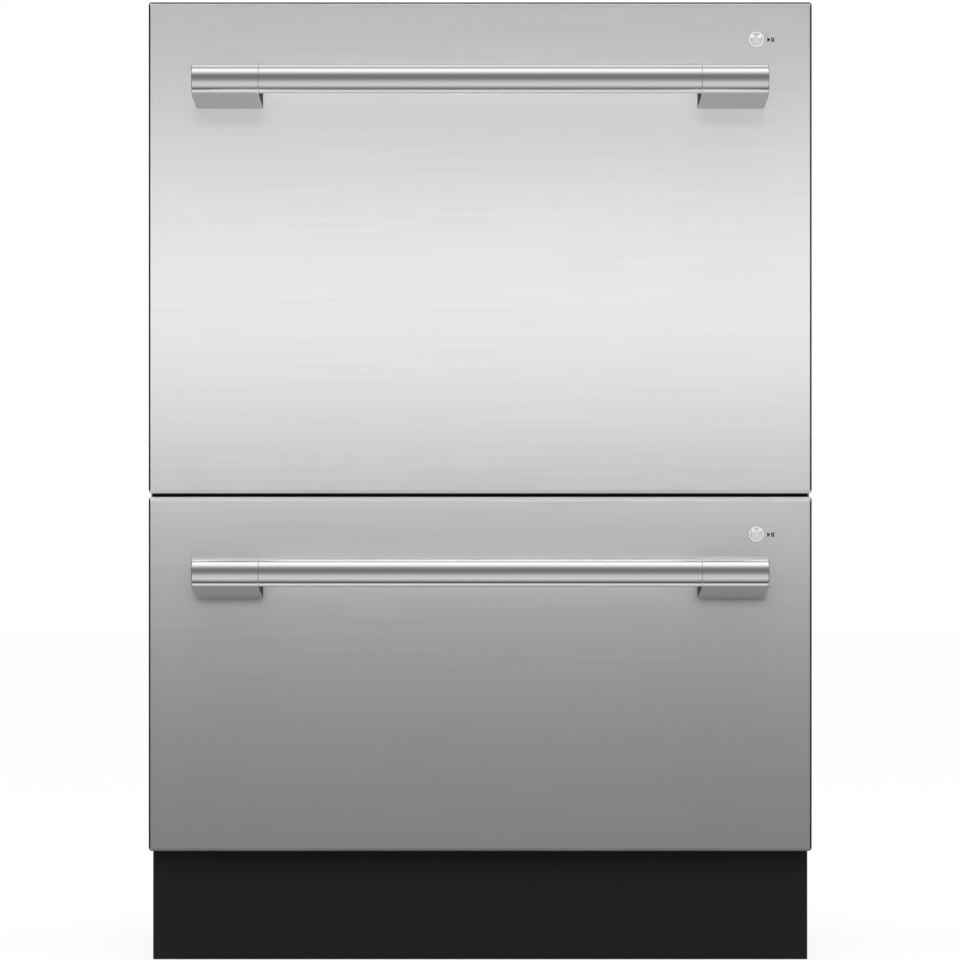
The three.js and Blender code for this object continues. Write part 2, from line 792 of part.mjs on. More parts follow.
// A push button pointing along -y: a disc in its bore, with a flange behind the wall that keeps it in.
function pushButton(radius, proud, wall, flange, flangeThickness) {
  const wallBack = wall + clearance;
  return turned([
    [0, -proud],
    [radius, -proud],
    [radius, wallBack],
    [radius + flange, wallBack],
    [radius + flange, wallBack + flangeThickness],
    [0, wallBack + flangeThickness],
  ], "y");
}

const plateFront = skinThickness + clearance;
const plateBack = plateFront + framePlate;
const controlFront = frontDepth;
const controlSlope = controlFall / (frameDepth - controlFront);
const controlAngle = Math.atan(controlSlope);
const controlMiddleY = (controlFront + frameDepth) / 2;

// Height of the control panel at a distance behind the front's face, below the front's top edge.
function controlLevel(height, y) {
  return height - controlDrop - (y - controlFront) * controlSlope;
}

// Puts something made round the -y axis, as a push button is, on the control panel, square to it.
function onControlPanel(object, height) {
  object.position.set(powerX, controlMiddleY, controlLevel(height, controlMiddleY));
  object.rotation.x = -Math.PI / 2 - controlAngle;
  object.updateMatrix();
  return object;
}

function frontFrame(height) {
  const underFold = height - skinThickness - clearance;
  const plateHalf = frontHalf - skinThickness - framePlateInset;
  const bottomMargin = Math.max(bottomBendRadius, skinThickness) + clearance;
  const topMargin = Math.max(topBendRadius, skinThickness) + clearance;
  const plate = block([-plateHalf, plateHalf], [plateFront, plateBack], [bottomMargin, height - topMargin]);
  const casing = prism(polygon([
    [plateBack - overlap, frameBottomRise],
    [frameDepth, frameBottomRise],
    [frameDepth, controlLevel(height, frameDepth)],
    [controlFront, controlLevel(height, controlFront)],
    [controlFront, underFold],
    [topBendRadius + clearance, underFold],
    [plateBack - overlap, height - topMargin],
  ]), "x", -frameHalfWidth, frameHalfWidth);
  const slopeWall = frameWall / Math.cos(controlAngle);
  const opening = frameDepth + overrun;
  const hollow = prism(polygon([
    [plateBack, frameBottomRise + frameWall],
    [opening, frameBottomRise + frameWall],
    [opening, controlLevel(height, opening) - slopeWall],
    [controlFront - frameWall, controlLevel(height, controlFront - frameWall) - slopeWall],
    [controlFront - frameWall, underFold - frameWall],
    [plateBack + frameWall, underFold - frameWall],
    [plateBack, controlLevel(height, controlFront)],
  ]), "x", -frameHalfWidth + frameWall, frameHalfWidth - frameWall);
  const centre = startCentre(height);
  const collar = rod("y", collarRadius, -startCollarProud, plateFront + overlap, centre);
  const startBore = rod("y", startRadius + clearance, -overrun, plateBack + overrun, centre);
  const cutter = turned([
    [0, -overrun],
    [powerRadius + clearance, -overrun],
    [powerRadius + clearance, frameWall + overrun],
    [0, frameWall + overrun],
  ], "y");
  const placed = onControlPanel(new THREE.Mesh(geometryOf(cutter)), height);
  const powerBore = solid(placed.geometry.applyMatrix4(placed.matrix));
  return plate.add(casing).subtract(hollow).add(collar).subtract(startBore).subtract(powerBore);
}

// ---------------------------------------------------------------------------
// Drawer: tub and what it holds
// ---------------------------------------------------------------------------

const dispenserSpan = around(dispenserX, dispenserWidth);

function dispenserLevels(rim) {
  const top = rim - dispenserTopDrop;
  return [top - dispenserHeight, top];
}

function tub(rim) {
  const box = (inset, radius) =>
    roundedRect(-tubHalf + inset, tubHalf - inset, tubFront + inset, tubBack - inset, radius);
  const shell = prism(box(0, tubCornerRadius), "z", tubFloorRise, rim);
  const flange = prism(box(-rimFlange, tubCornerRadius + rimFlange), "z", rim - tubWall, rim);
  const hollow = prism(box(tubWall, tubCornerRadius - tubWall), "z", tubFloor, rim + overrun);
  const middle = [0, tubMiddleY, 0];
  const sump = rod("z", sumpRadius, tubFloorRise - sumpDepth, tubFloor, middle, sumpSides);
  const hollowSpan = [tubFloor - sumpDepth, tubFloor + overrun];
  const sumpHollow = rod("z", sumpRadius - tubWall, ...hollowSpan, middle, sumpSides);
  const seats = [tubFront + seatFrontInset, tubBack - seatRearInset].map((y) => bothSides((side) => block(
    [side * (tubHalf - overlap), side * rimHalf],
    around(y, seatLength),
    around(railMiddle, seatHeight),
  )));
  // The pads reach from the frame's edge into the round corner of the tub's wall.
  const padInner = frameHalfWidth + padOverlap - padWidth;
  const cornerDepth = Math.sqrt(tubCornerRadius ** 2 - (padInner - tubHalf + tubCornerRadius) ** 2);
  const pads = bothSides((side) => block(
    [side * (padInner + padWidth), side * padInner],
    [rimFront, tubFront + tubCornerRadius - cornerDepth + overlap],
    [tubFloor + padMargin, rim - padMargin],
  ));
  const ledgeTop = basketFloor - clearance;
  const ledges = [tubInnerFront + ledgeInset, tubInnerBack - ledgeInset].map((y) => bothSides((side) => block(
    [side * (tubInnerHalf + overlap), side * (basketHalf - ledgeReach)],
    around(y, ledgeLength),
    [ledgeTop - ledgeHeight, ledgeTop],
  )));
  const window = block(grown(dispenserSpan, clearance), [rimFront - overrun, tubInnerFront + overrun],
    grown(dispenserLevels(rim), clearance));
  const body = joined([shell, flange, sump]).subtract(hollow).subtract(sumpHollow);
  return joined([body, ...seats, pads, ...ledges]).subtract(window);
}

function dispenserBody(rim) {
  const levels = dispenserLevels(rim);
  const flangeFront = tubInnerFront + clearance;
  const face = flangeFront + dispenserFlangeThickness;
  const bodyFront = tubFront - dispenserDepth;
  const flange = block(
    grown(dispenserSpan, dispenserFlange), [flangeFront, face], grown(levels, dispenserFlange));
  const body = block(dispenserSpan, [bodyFront, flangeFront + overlap], levels);
  const divide = dispenserSpan[0] + dispenserWidth * cupShare;
  const cupLevels = grown(levels, -cupMargin);
  const cup = (from, to) => block([from, to], [bodyFront + cupWall, face + overrun], cupLevels);
  const mainCup = cup(dispenserSpan[0] + cupMargin, divide - cupWall / 2);
  const sideCup = cup(divide + cupWall / 2, dispenserSpan[1] - cupMargin);
  return flange.add(body).subtract(mainCup).subtract(sideCup);
}

function dispenserFlap(rim) {
  const levels = dispenserLevels(rim);
  const span = grown(dispenserSpan, -flapMargin);
  return block(span, [flapY, flapY + flapThickness], grown(levels, -flapMargin));
}

function filterPlate() {
  const bottom = tubFloor + clearance;
  const top = bottom + filterThickness;
  const skirtRadius = sumpRadius - tubWall - clearance;
  const shoulderTop = tubFloor + sprayRise - clearance;
  const spindleTop = tubFloor + sprayRise + sprayHubHeight + filterThickness;
  const centre = [0, tubMiddleY, 0];
  const body = turned([
    [0, bottom],
    [skirtRadius - filterThickness, bottom],
    [skirtRadius - filterThickness, bottom - filterSkirt],
    [skirtRadius, bottom - filterSkirt],
    [skirtRadius, bottom],
    [sumpRadius - tubWall + filterOverlap, bottom],
    [sumpRadius - tubWall + filterOverlap, top],
    [spindleShoulderRadius, top],
    [spindleShoulderRadius, shoulderTop],
    [spindleRadius, shoulderTop],
    [spindleRadius, spindleTop],
    [0, spindleTop],
  ], "z", centre, sumpSides);
  const slots = Array.from({ length: filterSlotCount }, (_, i) => {
    const slotLength = filterSlotOuter - filterSlotInner;
    const slot = new THREE.BoxGeometry(slotLength, filterSlotWidth, filterThickness + 2 * overrun);
    slot.translate((filterSlotInner + filterSlotOuter) / 2, 0, (bottom + top) / 2);
    slot.rotateZ((i * 2 * Math.PI) / filterSlotCount);
    return solid(slot.translate(...centre));
  });
  return slots.reduce((plate, slot) => plate.subtract(slot), body);
}

// Made round the origin of its hub's underside.
function sprayArm() {
  const hub = rod("z", sprayHubRadius, 0, sprayHubHeight);
  const low = (sprayHubHeight - sprayThickness) / 2;
  const arm = new THREE.Shape();
  const tipX = sprayArmLength - sprayTipHalfWidth;
  arm.moveTo(0, -sprayRootHalfWidth);
  arm.lineTo(tipX, -sprayTipHalfWidth);
  arm.absarc(tipX, 0, sprayTipHalfWidth, -Math.PI / 2, Math.PI / 2, false);
  arm.lineTo(0, sprayRootHalfWidth);
  arm.lineTo(-tipX, sprayTipHalfWidth);
  arm.absarc(-tipX, 0, sprayTipHalfWidth, Math.PI / 2, (3 * Math.PI) / 2, false);
  const blade = prism(arm, "z", low, low + sprayThickness, tipFacets);
  const nozzleSpan = [low + sprayThickness / 2, low + sprayThickness + overrun];
  const nozzles = bothSides((side) => joined(Array.from({ length: nozzleCount }, (_, i) => {
    const x = side * (nozzleFirst + i * nozzleSpacing);
    return block(around(x, nozzleWidth), around(0, nozzleLength), nozzleSpan);
  })));
  const bore = rod("z", spindleRadius + sprayPlay, -overrun, sprayHubHeight + overrun);
  return hub.add(blade).subtract(nozzles).subtract(bore);
}

function washMotor() {
  const top = tubFloorRise - sumpDepth - clearance;
  const bottom = top - motorHeight;
  return turned([
    [0, bottom],
    [motorNeckRadius, bottom],
    [motorNeckRadius, bottom + motorNeckHeight],
    [motorRadius, bottom + motorNeckHeight],
    [motorRadius, top],
    [0, top],
  ], "z", [0, tubMiddleY, 0], motorFacets);
}

const loopSide = basketHalf - rimWire / 2; // middle of a basket's loops
const loopFront = basketFront + rimWire / 2;
const loopBack = basketBack - rimWire / 2;
const basketStraightX = basketHalf - basketCornerRadius; // ends of the straight runs between its corners
const basketStraightY = [basketFront + basketCornerRadius, basketBack - basketCornerRadius];
const floorWireTop = basketFloor + (rimWire + wire) / 2;
const tineAxleZ = floorWireTop + clearance + tineAxleRadius;
const tineFront = basketFront + tineMargin;
const tineBack = basketBack - tineMargin;

// An upright wire, square in section like all the thin wires.
function post(x, y, levels) {
  return block(around(x, wire), around(y, wire), levels);
}

function basketWalls(rim) {
  const top = rim - basketTopDrop;
  const outline = rectRing(-basketHalf, basketHalf, basketFront, basketBack, basketCornerRadius, rimWire);
  const loops = spread(basketFloor, top - rimWire, loopPitch).map((z) => prism(outline, "z", z, z + rimWire));
  const levels = [basketFloor + rimWire / 2, top - rimWire / 2];
  const across = spread(-basketStraightX, basketStraightX, uprightPitch)
    .flatMap((x) => [post(x, loopFront, levels), post(x, loopBack, levels)]);
  const along = spread(...basketStraightY, uprightPitch)
    .flatMap((y) => [post(-loopSide, y, levels), post(loopSide, y, levels)]);
  return [...loops, ...across, ...along];
}

// The wires that run to the back lie half a wire lower, and carry the tines and the folding row's clips.
function basketFloorWires(bay) {
  const level = [floorWireTop - wire, floorWireTop];
  const longLevel = level.map((z) => z - wire / 2);
  const evenPlaces = spread(-basketStraightX, basketStraightX, floorWirePitchX);
  const cross = spread(...basketStraightY, floorWirePitchY)
    .map((y) => block([-loopSide, loopSide], around(y, wire), level));
  const long = [...evenPlaces, foldingTineX, ...bay.fixedTines]
    .map((x) => block(around(x, wire), [loopFront, loopBack], longLevel));
  const tineLevels = [level[0], floorWireTop + tineHeight];
  const tines = bay.fixedTines.flatMap((x) => spread(tineFront, tineBack, tinePitch)
    .map((y) => post(x, y, tineLevels)));
  return [...cross, ...long, ...tines];
}

function tineClips() {
  const radius = tineAxleRadius + tineClipWall;
  const clips = tineClipPlaces().map((y) => block(
    grown([foldingTineX, foldingTineX], radius),
    around(y, tineClipLength),
    [floorWireTop - wire, tineAxleZ + radius],
  ));
  const holeSpan = grown([tineFront, tineBack], tineClipLength);
  const centre = [foldingTineX, 0, tineAxleZ];
  return joined(clips).subtract(rod("y", tineAxleRadius + tineAxlePlay, ...holeSpan, centre, smallFacets));
}

function basket(bay, rim) {
  return joined([...basketWalls(rim), ...basketFloorWires(bay), tineClips()]);
}

// Each clip lies between two tines of the folding row.
function tineClipPlaces() {
  const tines = spread(tineFront, tineBack, tinePitch);
  return [0, Math.floor((tines.length - 1) / 2), tines.length - 2].map((i) => (tines[i] + tines[i + 1]) / 2);
}

// Made round its axle, which lies along y through the origin, with y as in the drawer.
function tineRow() {
  const span = grown([tineFront, tineBack], tineClipLength / 2);
  const axle = rod("y", tineAxleRadius, ...span, [0, 0, 0], axleFacets);
  const tines = spread(tineFront, tineBack, tinePitch).map((y) => post(0, y, [0, tineHeight]));
  return joined([axle, ...tines]);
}

// Two cells, with a divider between them that rises into the grip.
function cutleryBasket() {
  const bottom = floorWireTop + clearance;
  const top = bottom + cutleryHeight;
  const middleY = (basketFront + basketBack) / 2;
  const spanX = around(cutleryX, cutleryWidth);
  const cell = (cutleryLength - cutleryGripThickness) / 2 - cutleryWall;
  const cellMiddles = around(middleY, cell + cutleryGripThickness);
  const cells = cellMiddles.map((y) => block(grown(spanX, -cutleryWall), around(y, cell),
    [bottom + cutleryWall, top + overrun]));

  const holeColumns = spread(...grown(spanX, -cutleryHoleMargin), cutleryHolePitch);
  const holeRows = cellMiddles.flatMap((y) => around(y, cell / 2));
  const floorSpan = grown([bottom, bottom + cutleryWall], overrun);
  const holes = holeColumns.flatMap((x) => holeRows.map((y) =>
    block(around(x, cutleryHoleWidth), around(y, cutleryHoleLength), floorSpan)));

  const gripX = around(cutleryX, cutleryGripWidth);
  const gripY = around(middleY, cutleryGripThickness);
  const grip = block(gripX, gripY, [top - overlap, top + cutleryGripHeight]);
  const fingerHole = block(grown(gripX, -fingerHoleMargin), grown(gripY, overrun),
    [top + fingerHoleRise, top + cutleryGripHeight - fingerHoleMargin]);
  const body = block(spanX, around(middleY, cutleryLength), [bottom, top]);
  return body.subtract(joined([...cells, ...holes])).add(grip).subtract(fingerHole);
}

// ---------------------------------------------------------------------------
// Lid
// ---------------------------------------------------------------------------

function lid(rim) {
  const bottom = rim + lidRise;
  const plateTop = bottom + lidThickness;
  const top = rim + lidHeight;
  const radius = tubCornerRadius + rimFlange;
  const edge = [-rimHalf, rimHalf, rimFront, rimBack];
  const plate = prism(roundedRect(...edge, radius), "z", bottom, plateTop);
  const skirt = prism(rectRing(...edge, radius, lidRibWidth), "z", bottom, top);
  const levels = grown([bottom, top], -overlap);
  const ribs = bothSides((side) => {
    const x = side * longRibPlace * rimHalf;
    const y = tubMiddleY + (side * crossRibPlace * tubLength) / 2;
    const long = block(around(x, lidRibWidth), grown([rimFront, rimBack], -overlap), levels);
    const cross = block(grown([-rimHalf, rimHalf], -overlap), around(y, lidRibWidth),
      [levels[0], levels[1] - crossRibDrop]);
    return long.add(cross);
  });
  const earEnd = studX + studHole + earMargin;
  const ears = bothSides((side) => block([side * (rimHalf - earOverlap), side * earEnd],
    around(tubMiddleY, earLength), [bottom, plateTop]));
  const holes = bothSides((side) =>
    rod("z", studHole, bottom - overrun, plateTop + overrun, [side * studX, tubMiddleY, 0]));
  return joined([plate, skirt, ribs, ears]).subtract(holes);
}

function lidSeal(rim) {
  const bottom = rim + clearance;
  const spanX = grown([-rimHalf, rimHalf], -sealInset);
  const spanY = grown([rimFront, rimBack], -sealInset);
  const outline = rectRing(...spanX, ...spanY, tubCornerRadius + rimFlange - sealInset, sealWidth);
  return prism(outline, "z", bottom, bottom + sealHeight);
}

// ---------------------------------------------------------------------------
// Assembly
// ---------------------------------------------------------------------------

function cabinet() {
  const group = new THREE.Group();
  group.add(
    mesh("cabinet_wrapper", cabinetWrapper(), "galvanised"),
    mesh("cabinet_top", cabinetTopPlate(), "galvanised"),
    mesh("base_tray", baseTray(), "motorPlastic"),
    mesh("centre_crossbar", centreCrossbar(), "blackSteel"),
    mesh("toe_kick", toeKick(), "blackSteel"),
    mesh("water_inlet_valve", waterInletValve(), "brass"),
    mesh("power_cord_gland", powerCordGland(), "motorPlastic"),
  );
  for (const [name, x, y] of footPlaces) {
    const piece = mesh(name, foot(), "motorPlastic");
    piece.position.set(x, y, 0);
    group.add(piece);
  }
  return group;
}

const sides = [["left", -1], ["right", 1]];

// What the cabinet carries in one bay, with z from the floor.
function bayFittings(bay) {
  const group = new THREE.Group();
  const rim = bay.bottom + bay.height - rimDrop;
  group.add(
    mesh(`${bay.name}_lid_carrier`, lidCarrier(bay), "galvanised"),
    mesh(`${bay.name}_lid`, lid(rim), "lidPlastic"),
    mesh(`${bay.name}_lid_seal`, lidSeal(rim), "sealRubber"),
  );
  for (const [label, side] of sides) {
    const middle = bay.bottom + railMiddle;
    group.add(mesh(`${bay.name}_rail_outer_${label}`, railOuter(side, middle), "railSteel"));
    group.add(mesh(`${bay.name}_rail_middle_${label}`, railMiddlePiece(side, middle), "railSteel"));
  }
  return group;
}

// One drawer, with z from its front's bottom edge.
function drawer(bay) {
  const { name, height } = bay;
  const rim = height - rimDrop;
  const group = new THREE.Group();
  group.position.z = bay.bottom;
  group.add(
    mesh(`${name}_front_skin`, frontSkin(height), "frontSteel"),
    mesh(`${name}_front_frame`, frontFrame(height), "framePlastic"),
    mesh(`${name}_tub`, tub(rim), "tubPlastic"),
    mesh(`${name}_dispenser_body`, dispenserBody(rim), "greyPlastic"),
    mesh(`${name}_dispenser_flap`, dispenserFlap(rim), "sprayPlastic"),
    mesh(`${name}_filter_plate`, filterPlate(), "greyPlastic"),
    mesh(`${name}_wash_motor`, washMotor(), "motorPlastic"),
    mesh(`${name}_basket`, basket(bay, rim), "coatedWire"),
  );

  const handle = new THREE.Group();
  handle.position.set(0, -handleStandoff, height - bay.handleDrop);
  handle.add(mesh(`${name}_handle_bar`, handleBar(), "handleSteel"));
  for (const [label, side] of sides) {
    handle.add(mesh(`${name}_handle_end_${label}`, handleEnd(side), "handleSteel"));
    group.add(mesh(`${name}_rail_inner_${label}`, railInner(side, railMiddle), "railSteel"));
  }
  group.add(handle);

  const start = pushButton(startRadius, startProud, plateBack, startFlange, startFlangeThickness);
  const startButton = mesh(`${name}_start_button`, start, "buttonMetal");
  startButton.position.set(...startCentre(height));
  const power = pushButton(powerRadius, powerProud, frameWall, powerFlange, powerFlangeThickness);
  const powerButton = onControlPanel(mesh(`${name}_power_button`, power, "buttonMetal"), height);
  const spray = mesh(`${name}_spray_arm`, sprayArm(), "sprayPlastic");
  spray.position.set(0, tubMiddleY, tubFloor + sprayRise);
  const tines = mesh(`${name}_tine_row`, tineRow(), "coatedWire");
  tines.position.set(foldingTineX, 0, tineAxleZ);
  group.add(startButton, powerButton, spray, tines);
  if (bay.cutlery) {
    group.add(mesh(`${name}_cutlery_basket`, cutleryBasket(), "greyPlastic"));
  }
  return group;
}

const machine = new THREE.Group();
machine.name = "two_drawer_dishwasher";
machine.add(cabinet());
for (const bay of bays) {
  machine.add(bayFittings(bay), drawer(bay));
}

// Half way between the handles' front and the back plate.
machine.position.y = -(cabinetDepth - handleStandoff - handleRadius) / 2;

export default machine;
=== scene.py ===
import json
import math
from collections import namedtuple
from contextlib import contextmanager

import bmesh
import bpy
from mathutils import Matrix, Vector


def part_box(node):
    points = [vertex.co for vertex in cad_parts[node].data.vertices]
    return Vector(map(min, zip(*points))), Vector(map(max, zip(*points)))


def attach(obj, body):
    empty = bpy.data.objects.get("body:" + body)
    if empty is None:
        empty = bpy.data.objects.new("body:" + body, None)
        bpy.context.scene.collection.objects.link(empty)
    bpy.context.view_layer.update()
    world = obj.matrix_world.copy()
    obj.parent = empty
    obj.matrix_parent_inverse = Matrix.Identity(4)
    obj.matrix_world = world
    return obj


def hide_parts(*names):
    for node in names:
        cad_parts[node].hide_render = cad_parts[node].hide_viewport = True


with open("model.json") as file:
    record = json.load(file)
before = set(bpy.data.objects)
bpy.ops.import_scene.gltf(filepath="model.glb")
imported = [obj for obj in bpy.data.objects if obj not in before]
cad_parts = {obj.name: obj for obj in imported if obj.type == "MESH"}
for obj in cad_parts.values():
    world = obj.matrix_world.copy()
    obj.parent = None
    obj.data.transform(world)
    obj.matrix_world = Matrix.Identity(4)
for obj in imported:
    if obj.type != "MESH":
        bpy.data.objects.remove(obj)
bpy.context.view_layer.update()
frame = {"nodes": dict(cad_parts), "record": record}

BAYS = ("upper", "lower")
SIDES = (("left", -1), ("right", 1))
MM = 0.001  # shapes are written in millimetres; the frame, materials, camera and lamps are in metres


# Node materials

class Shader:
    """A node tree that is filled one by one; an input may be a value or another node's socket."""

    def __init__(self, owner):
        owner.use_nodes = True
        self.owner, self.tree = owner, owner.node_tree
        self.tree.nodes.clear()
        self.places = self.node("TexCoord").outputs

    def node(self, kind, inputs=None, **settings):
        made = self.tree.nodes.new("ShaderNode" + kind)
        for key, value in settings.items():
            setattr(made, key, value)
        for key, value in (inputs or {}).items():
            if isinstance(value, bpy.types.NodeSocket):
                self.tree.links.new(value, made.inputs[key])
            else:
                made.inputs[key].default_value = value
        return made

    def maths(self, operation, first, second=0.0):
        return self.node("Math", {0: first, 1: second}, operation=operation).outputs[0]

    def noise(self, scale, stretch=(1, 1, 1), detail=2.0, roughness=0.5):
        place = self.node("Mapping", {"Vector": self.places["Object"], "Scale": stretch}).outputs[0]
        inputs = {"Vector": place, "Scale": scale, "Detail": detail, "Roughness": roughness}
        return self.node("TexNoise", inputs).outputs["Fac"]

    def ramp(self, factor, stops):
        made = self.node("ValToRGB", {"Fac": factor})
        band = made.color_ramp
        while len(band.elements) < len(stops):
            band.elements.new(0.5)
        for element, (place, value) in zip(band.elements, stops):
            element.position = place
            element.color = grey(value)
        return made.outputs["Color"]

    def level(self, factor, low, high, start=0.0, end=1.0):
        """A value between start and end, mapped to another range."""
        inputs = {"Value": factor, "From Min": start, "From Max": end, "To Min": low, "To Max": high}
        return self.node("MapRange", inputs).outputs["Result"]

    def mix(self, factor, first, second):
        return self.node("Mix", {"Factor": factor, 6: first, 7: second}, data_type="RGBA").outputs[2]

    def tones(self, factor, colour, first, second, share=1):
        """The colour times one factor, or up to a share times another."""
        return self.mix(self.level(factor, 0, share), tint(colour, first), tint(colour, second))

    def bump(self, height, strength, distance, edge=None):
        """A normal with a fine relief, over sharp edges that are rounded by a radius."""
        inputs = {"Height": height, "Strength": strength, "Distance": distance}
        if edge:
            inputs["Normal"] = self.node("Bevel", {"Radius": edge}, samples=6).outputs["Normal"]
        return self.node("Bump", inputs).outputs["Normal"]

    def finish(self, inputs):
        surface = self.node("BsdfPrincipled", inputs).outputs[0]
        self.node("OutputMaterial", {"Surface": surface})
        return self.owner


def new_shader(name):
    return Shader(bpy.data.materials.new(name))


def grey(value):
    return (value, value, value, 1.0)


def tint(colour, factor):
    return (*[min(1.0, c * factor) for c in colour], 1.0)


def brushed_steel(name, colour, roughness, anisotropy, along="x", spread="z", lines=1.0, edge=None):
    """Steel with fine brushing along one axis, whose highlights spread along another."""
    shader = new_shader(name)
    stretch = {"x": (0.012, 1, 1), "y": (1, 0.012, 1)}[along]
    fine = shader.noise(2600, stretch, 3, 0.6)
    broad = shader.noise(420, [max(s, 0.02) for s in stretch], 3, 0.7)
    streaks = shader.level(broad, 0.0, 1.0, 0.3, 0.7)
    shade = shader.tones(streaks, colour, 1 - 0.035 * lines, 1 + 0.035 * lines)
    cooler = tint((colour[0] * 0.99, colour[1], colour[2] * 1.012), 1)
    lay = {axis.upper(): float(axis == spread) for axis in "xyz"}
    return shader.finish({
        "Base Color": shader.mix(shader.level(shader.noise(2.2), 0.0, 0.5), shade, cooler),
        "Metallic": 1.0,
        "Roughness": shader.level(fine, roughness - 0.025 * lines, roughness + 0.025 * lines),
        "Anisotropic": anisotropy,
        "Tangent": shader.node("CombineXYZ", lay).outputs[0],
        "Normal": shader.bump(fine, 0.05 * lines, 0.00004, edge),
    })


def turned_steel(name, colour, roughness):
    """A lathe-turned face: fine rings about the piece's middle, and the highlights that they throw."""
    shader = new_shader(name)
    steps = (("ADD", {1: (-0.5, 0.0, -0.5)}), ("MULTIPLY", {1: (1, 0, 1)}), ("LENGTH", {}))
    place = shader.places["Generated"]
    for operation, inputs in steps:
        made = shader.node("VectorMath", {0: place, **inputs}, operation=operation)
        place = made.outputs["Value" if operation == "LENGTH" else "Vector"]
    rings = shader.maths("SINE", shader.maths("MULTIPLY", place, 260.0))
    wobble = shader.noise(900)
    return shader.finish({
        "Base Color": shader.tones(wobble, colour, 0.97, 1.03),
        "Metallic": 1.0,
        "Roughness": shader.level(wobble, roughness - 0.03, roughness + 0.03),
        "Anisotropic": 0.85,
        "Anisotropic Rotation": 0.25,
        "Tangent": shader.node("Tangent", direction_type="RADIAL", axis="Y").outputs[0],
        "Normal": shader.bump(rings, 0.06, 0.00003),
    })


def moulded(name, colour, roughness, grain, edge):
    """Moulded plastic: a fine spark-eroded grain, faint flow marks and handling marks."""
    shader = new_shader(name)
    flow = shader.noise(14, (1, 1, 0.35), 3, 0.6)
    marks = shader.noise(60, detail=4, roughness=0.7)
    return shader.finish({
        "Base Color": shader.tones(flow, colour, 0.94, 1.05),
        "Roughness": shader.level(marks, roughness - 0.06, roughness + 0.08),
        "Specular IOR Level": 0.45,
        "Normal": shader.bump(shader.noise(2400), grain, 0.00006, edge),
    })


def rubber(name, colour):
    shader = new_shader(name)
    bloom = shader.noise(30, detail=4)
    return shader.finish({
        "Base Color": shader.tones(bloom, colour, 0.85, 1.3),
        "Roughness": shader.level(bloom, 0.68, 0.85),
        "Normal": shader.bump(shader.noise(1800, detail=3), 0.25, 0.00008, 0.001),
    })


def galvanised(name, colour):
    """Zinc-coated sheet: the spangle of its crystals under a satin passivation."""
    shader = new_shader(name)
    spangle = shader.node("TexVoronoi", {"Vector": shader.places["Object"], "Scale": 95}).outputs["Color"]
    facet = shader.node("SeparateColor", {"Color": spangle}).outputs[0]
    cloud = shader.noise(5, detail=4, roughness=0.6)
    drift = shader.noise(260, (1, 1, 0.06))
    shade = shader.tones(facet, colour, 0.9, 1.07)
    return shader.finish({
        "Base Color": shader.mix(shader.level(cloud, 0, 0.45), shade, tint(colour, 0.86)),
        "Metallic": 0.85,
        "Roughness": shader.level(shader.maths("ADD", facet, cloud), 0.36, 0.52),
        "Normal": shader.bump(drift, 0.08, 0.0001, 0.0012),
    })


def powder_coat(name, colour, roughness, gloss):
    """A coat with an orange-peel surface and a little dust."""
    shader = new_shader(name)
    dust = shader.noise(8, detail=5, roughness=0.65)
    fine = shader.maths("MULTIPLY", shader.noise(3200, detail=1), 0.35)
    height = shader.maths("ADD", shader.noise(700), fine)
    return shader.finish({
        "Base Color": shader.tones(dust, colour, 0.9, 1.15),
        "Roughness": shader.level(dust, roughness - 0.05, roughness + 0.07),
        "Specular IOR Level": gloss,
        "Normal": shader.bump(height, 0.18, 0.00012, 0.0008),
    })


def coated_wire(name, colour):
    """Nylon-coated wire: a dipped coat that is a little uneven and shines softly."""
    shader = new_shader(name)
    drips = shader.noise(120)
    return shader.finish({
        "Base Color": shader.tones(shader.noise(25), colour, 0.95, 1.04),
        "Roughness": shader.level(drips, 0.28, 0.42),
        "Coat Weight": 0.2,
        "Normal": shader.bump(drips, 0.2, 0.0002),
    })


def machined_brass(name, colour):
    shader = new_shader(name)
    rings = shader.noise(1500, (0.05, 1, 0.05))
    tarnish = shader.noise(70, detail=4, roughness=0.65)
    return shader.finish({
        "Base Color": shader.tones(tarnish, colour, 1.05, 0.7, 0.8),
        "Metallic": 1.0,
        "Roughness": shader.level(tarnish, 0.22, 0.42),
        "Normal": shader.bump(rings, 0.12, 0.00006, 0.0006),
    })


# A dark material of painted shade for the handle ends' side faces.
HANDLE_SIDE_PAINTED_SHADE = powder_coat("handle_ends_painted_shade", (0.07, 0.07, 0.07), 0.7, 0.15)
# A darker copy of the handle steel, painted shade for the upper posts' undersides.
POST_UNDERSIDE_PAINTED_SHADE = brushed_steel("handle_post_underside_painted_shade", (0.66, 0.66, 0.66), 0.2, 0.55, spread="x", lines=0.5)
# The folded front's bends get painted light of their own: painted shade at the sides, at the upper front's
# top and the lower front's bottom, and painted highlights at the upper front's bottom and the lower front's
# top.
SIDE_BEND_PAINTED_SHADE = powder_coat("front_side_bend_painted_shade", (0.007, 0.007, 0.0072), 0.85, 0.0)
BEND_PAINTED_LIGHT = {
    "upper": (SIDE_BEND_PAINTED_SHADE, powder_coat("upper_top_bend_painted_shade", (0.09, 0.09, 0.093), 0.7, 0.1),
              powder_coat("upper_bottom_bend_painted_highlight", (0.58, 0.58, 0.585), 0.6, 0.3)),
    "lower": (SIDE_BEND_PAINTED_SHADE, powder_coat("lower_top_bend_painted_highlight", (0.48, 0.48, 0.484), 0.7, 0.1),
              powder_coat("lower_bottom_bend_painted_shade", (0.21, 0.21, 0.212), 0.6, 0.3)),
}
BUTTON_FACE = turned_steel("turned_button_face", (0.76, 0.76, 0.755), 0.2)
PRINT_BLACK = powder_coat("printed_black", (0.004, 0.004, 0.004), 0.8, 0.1)
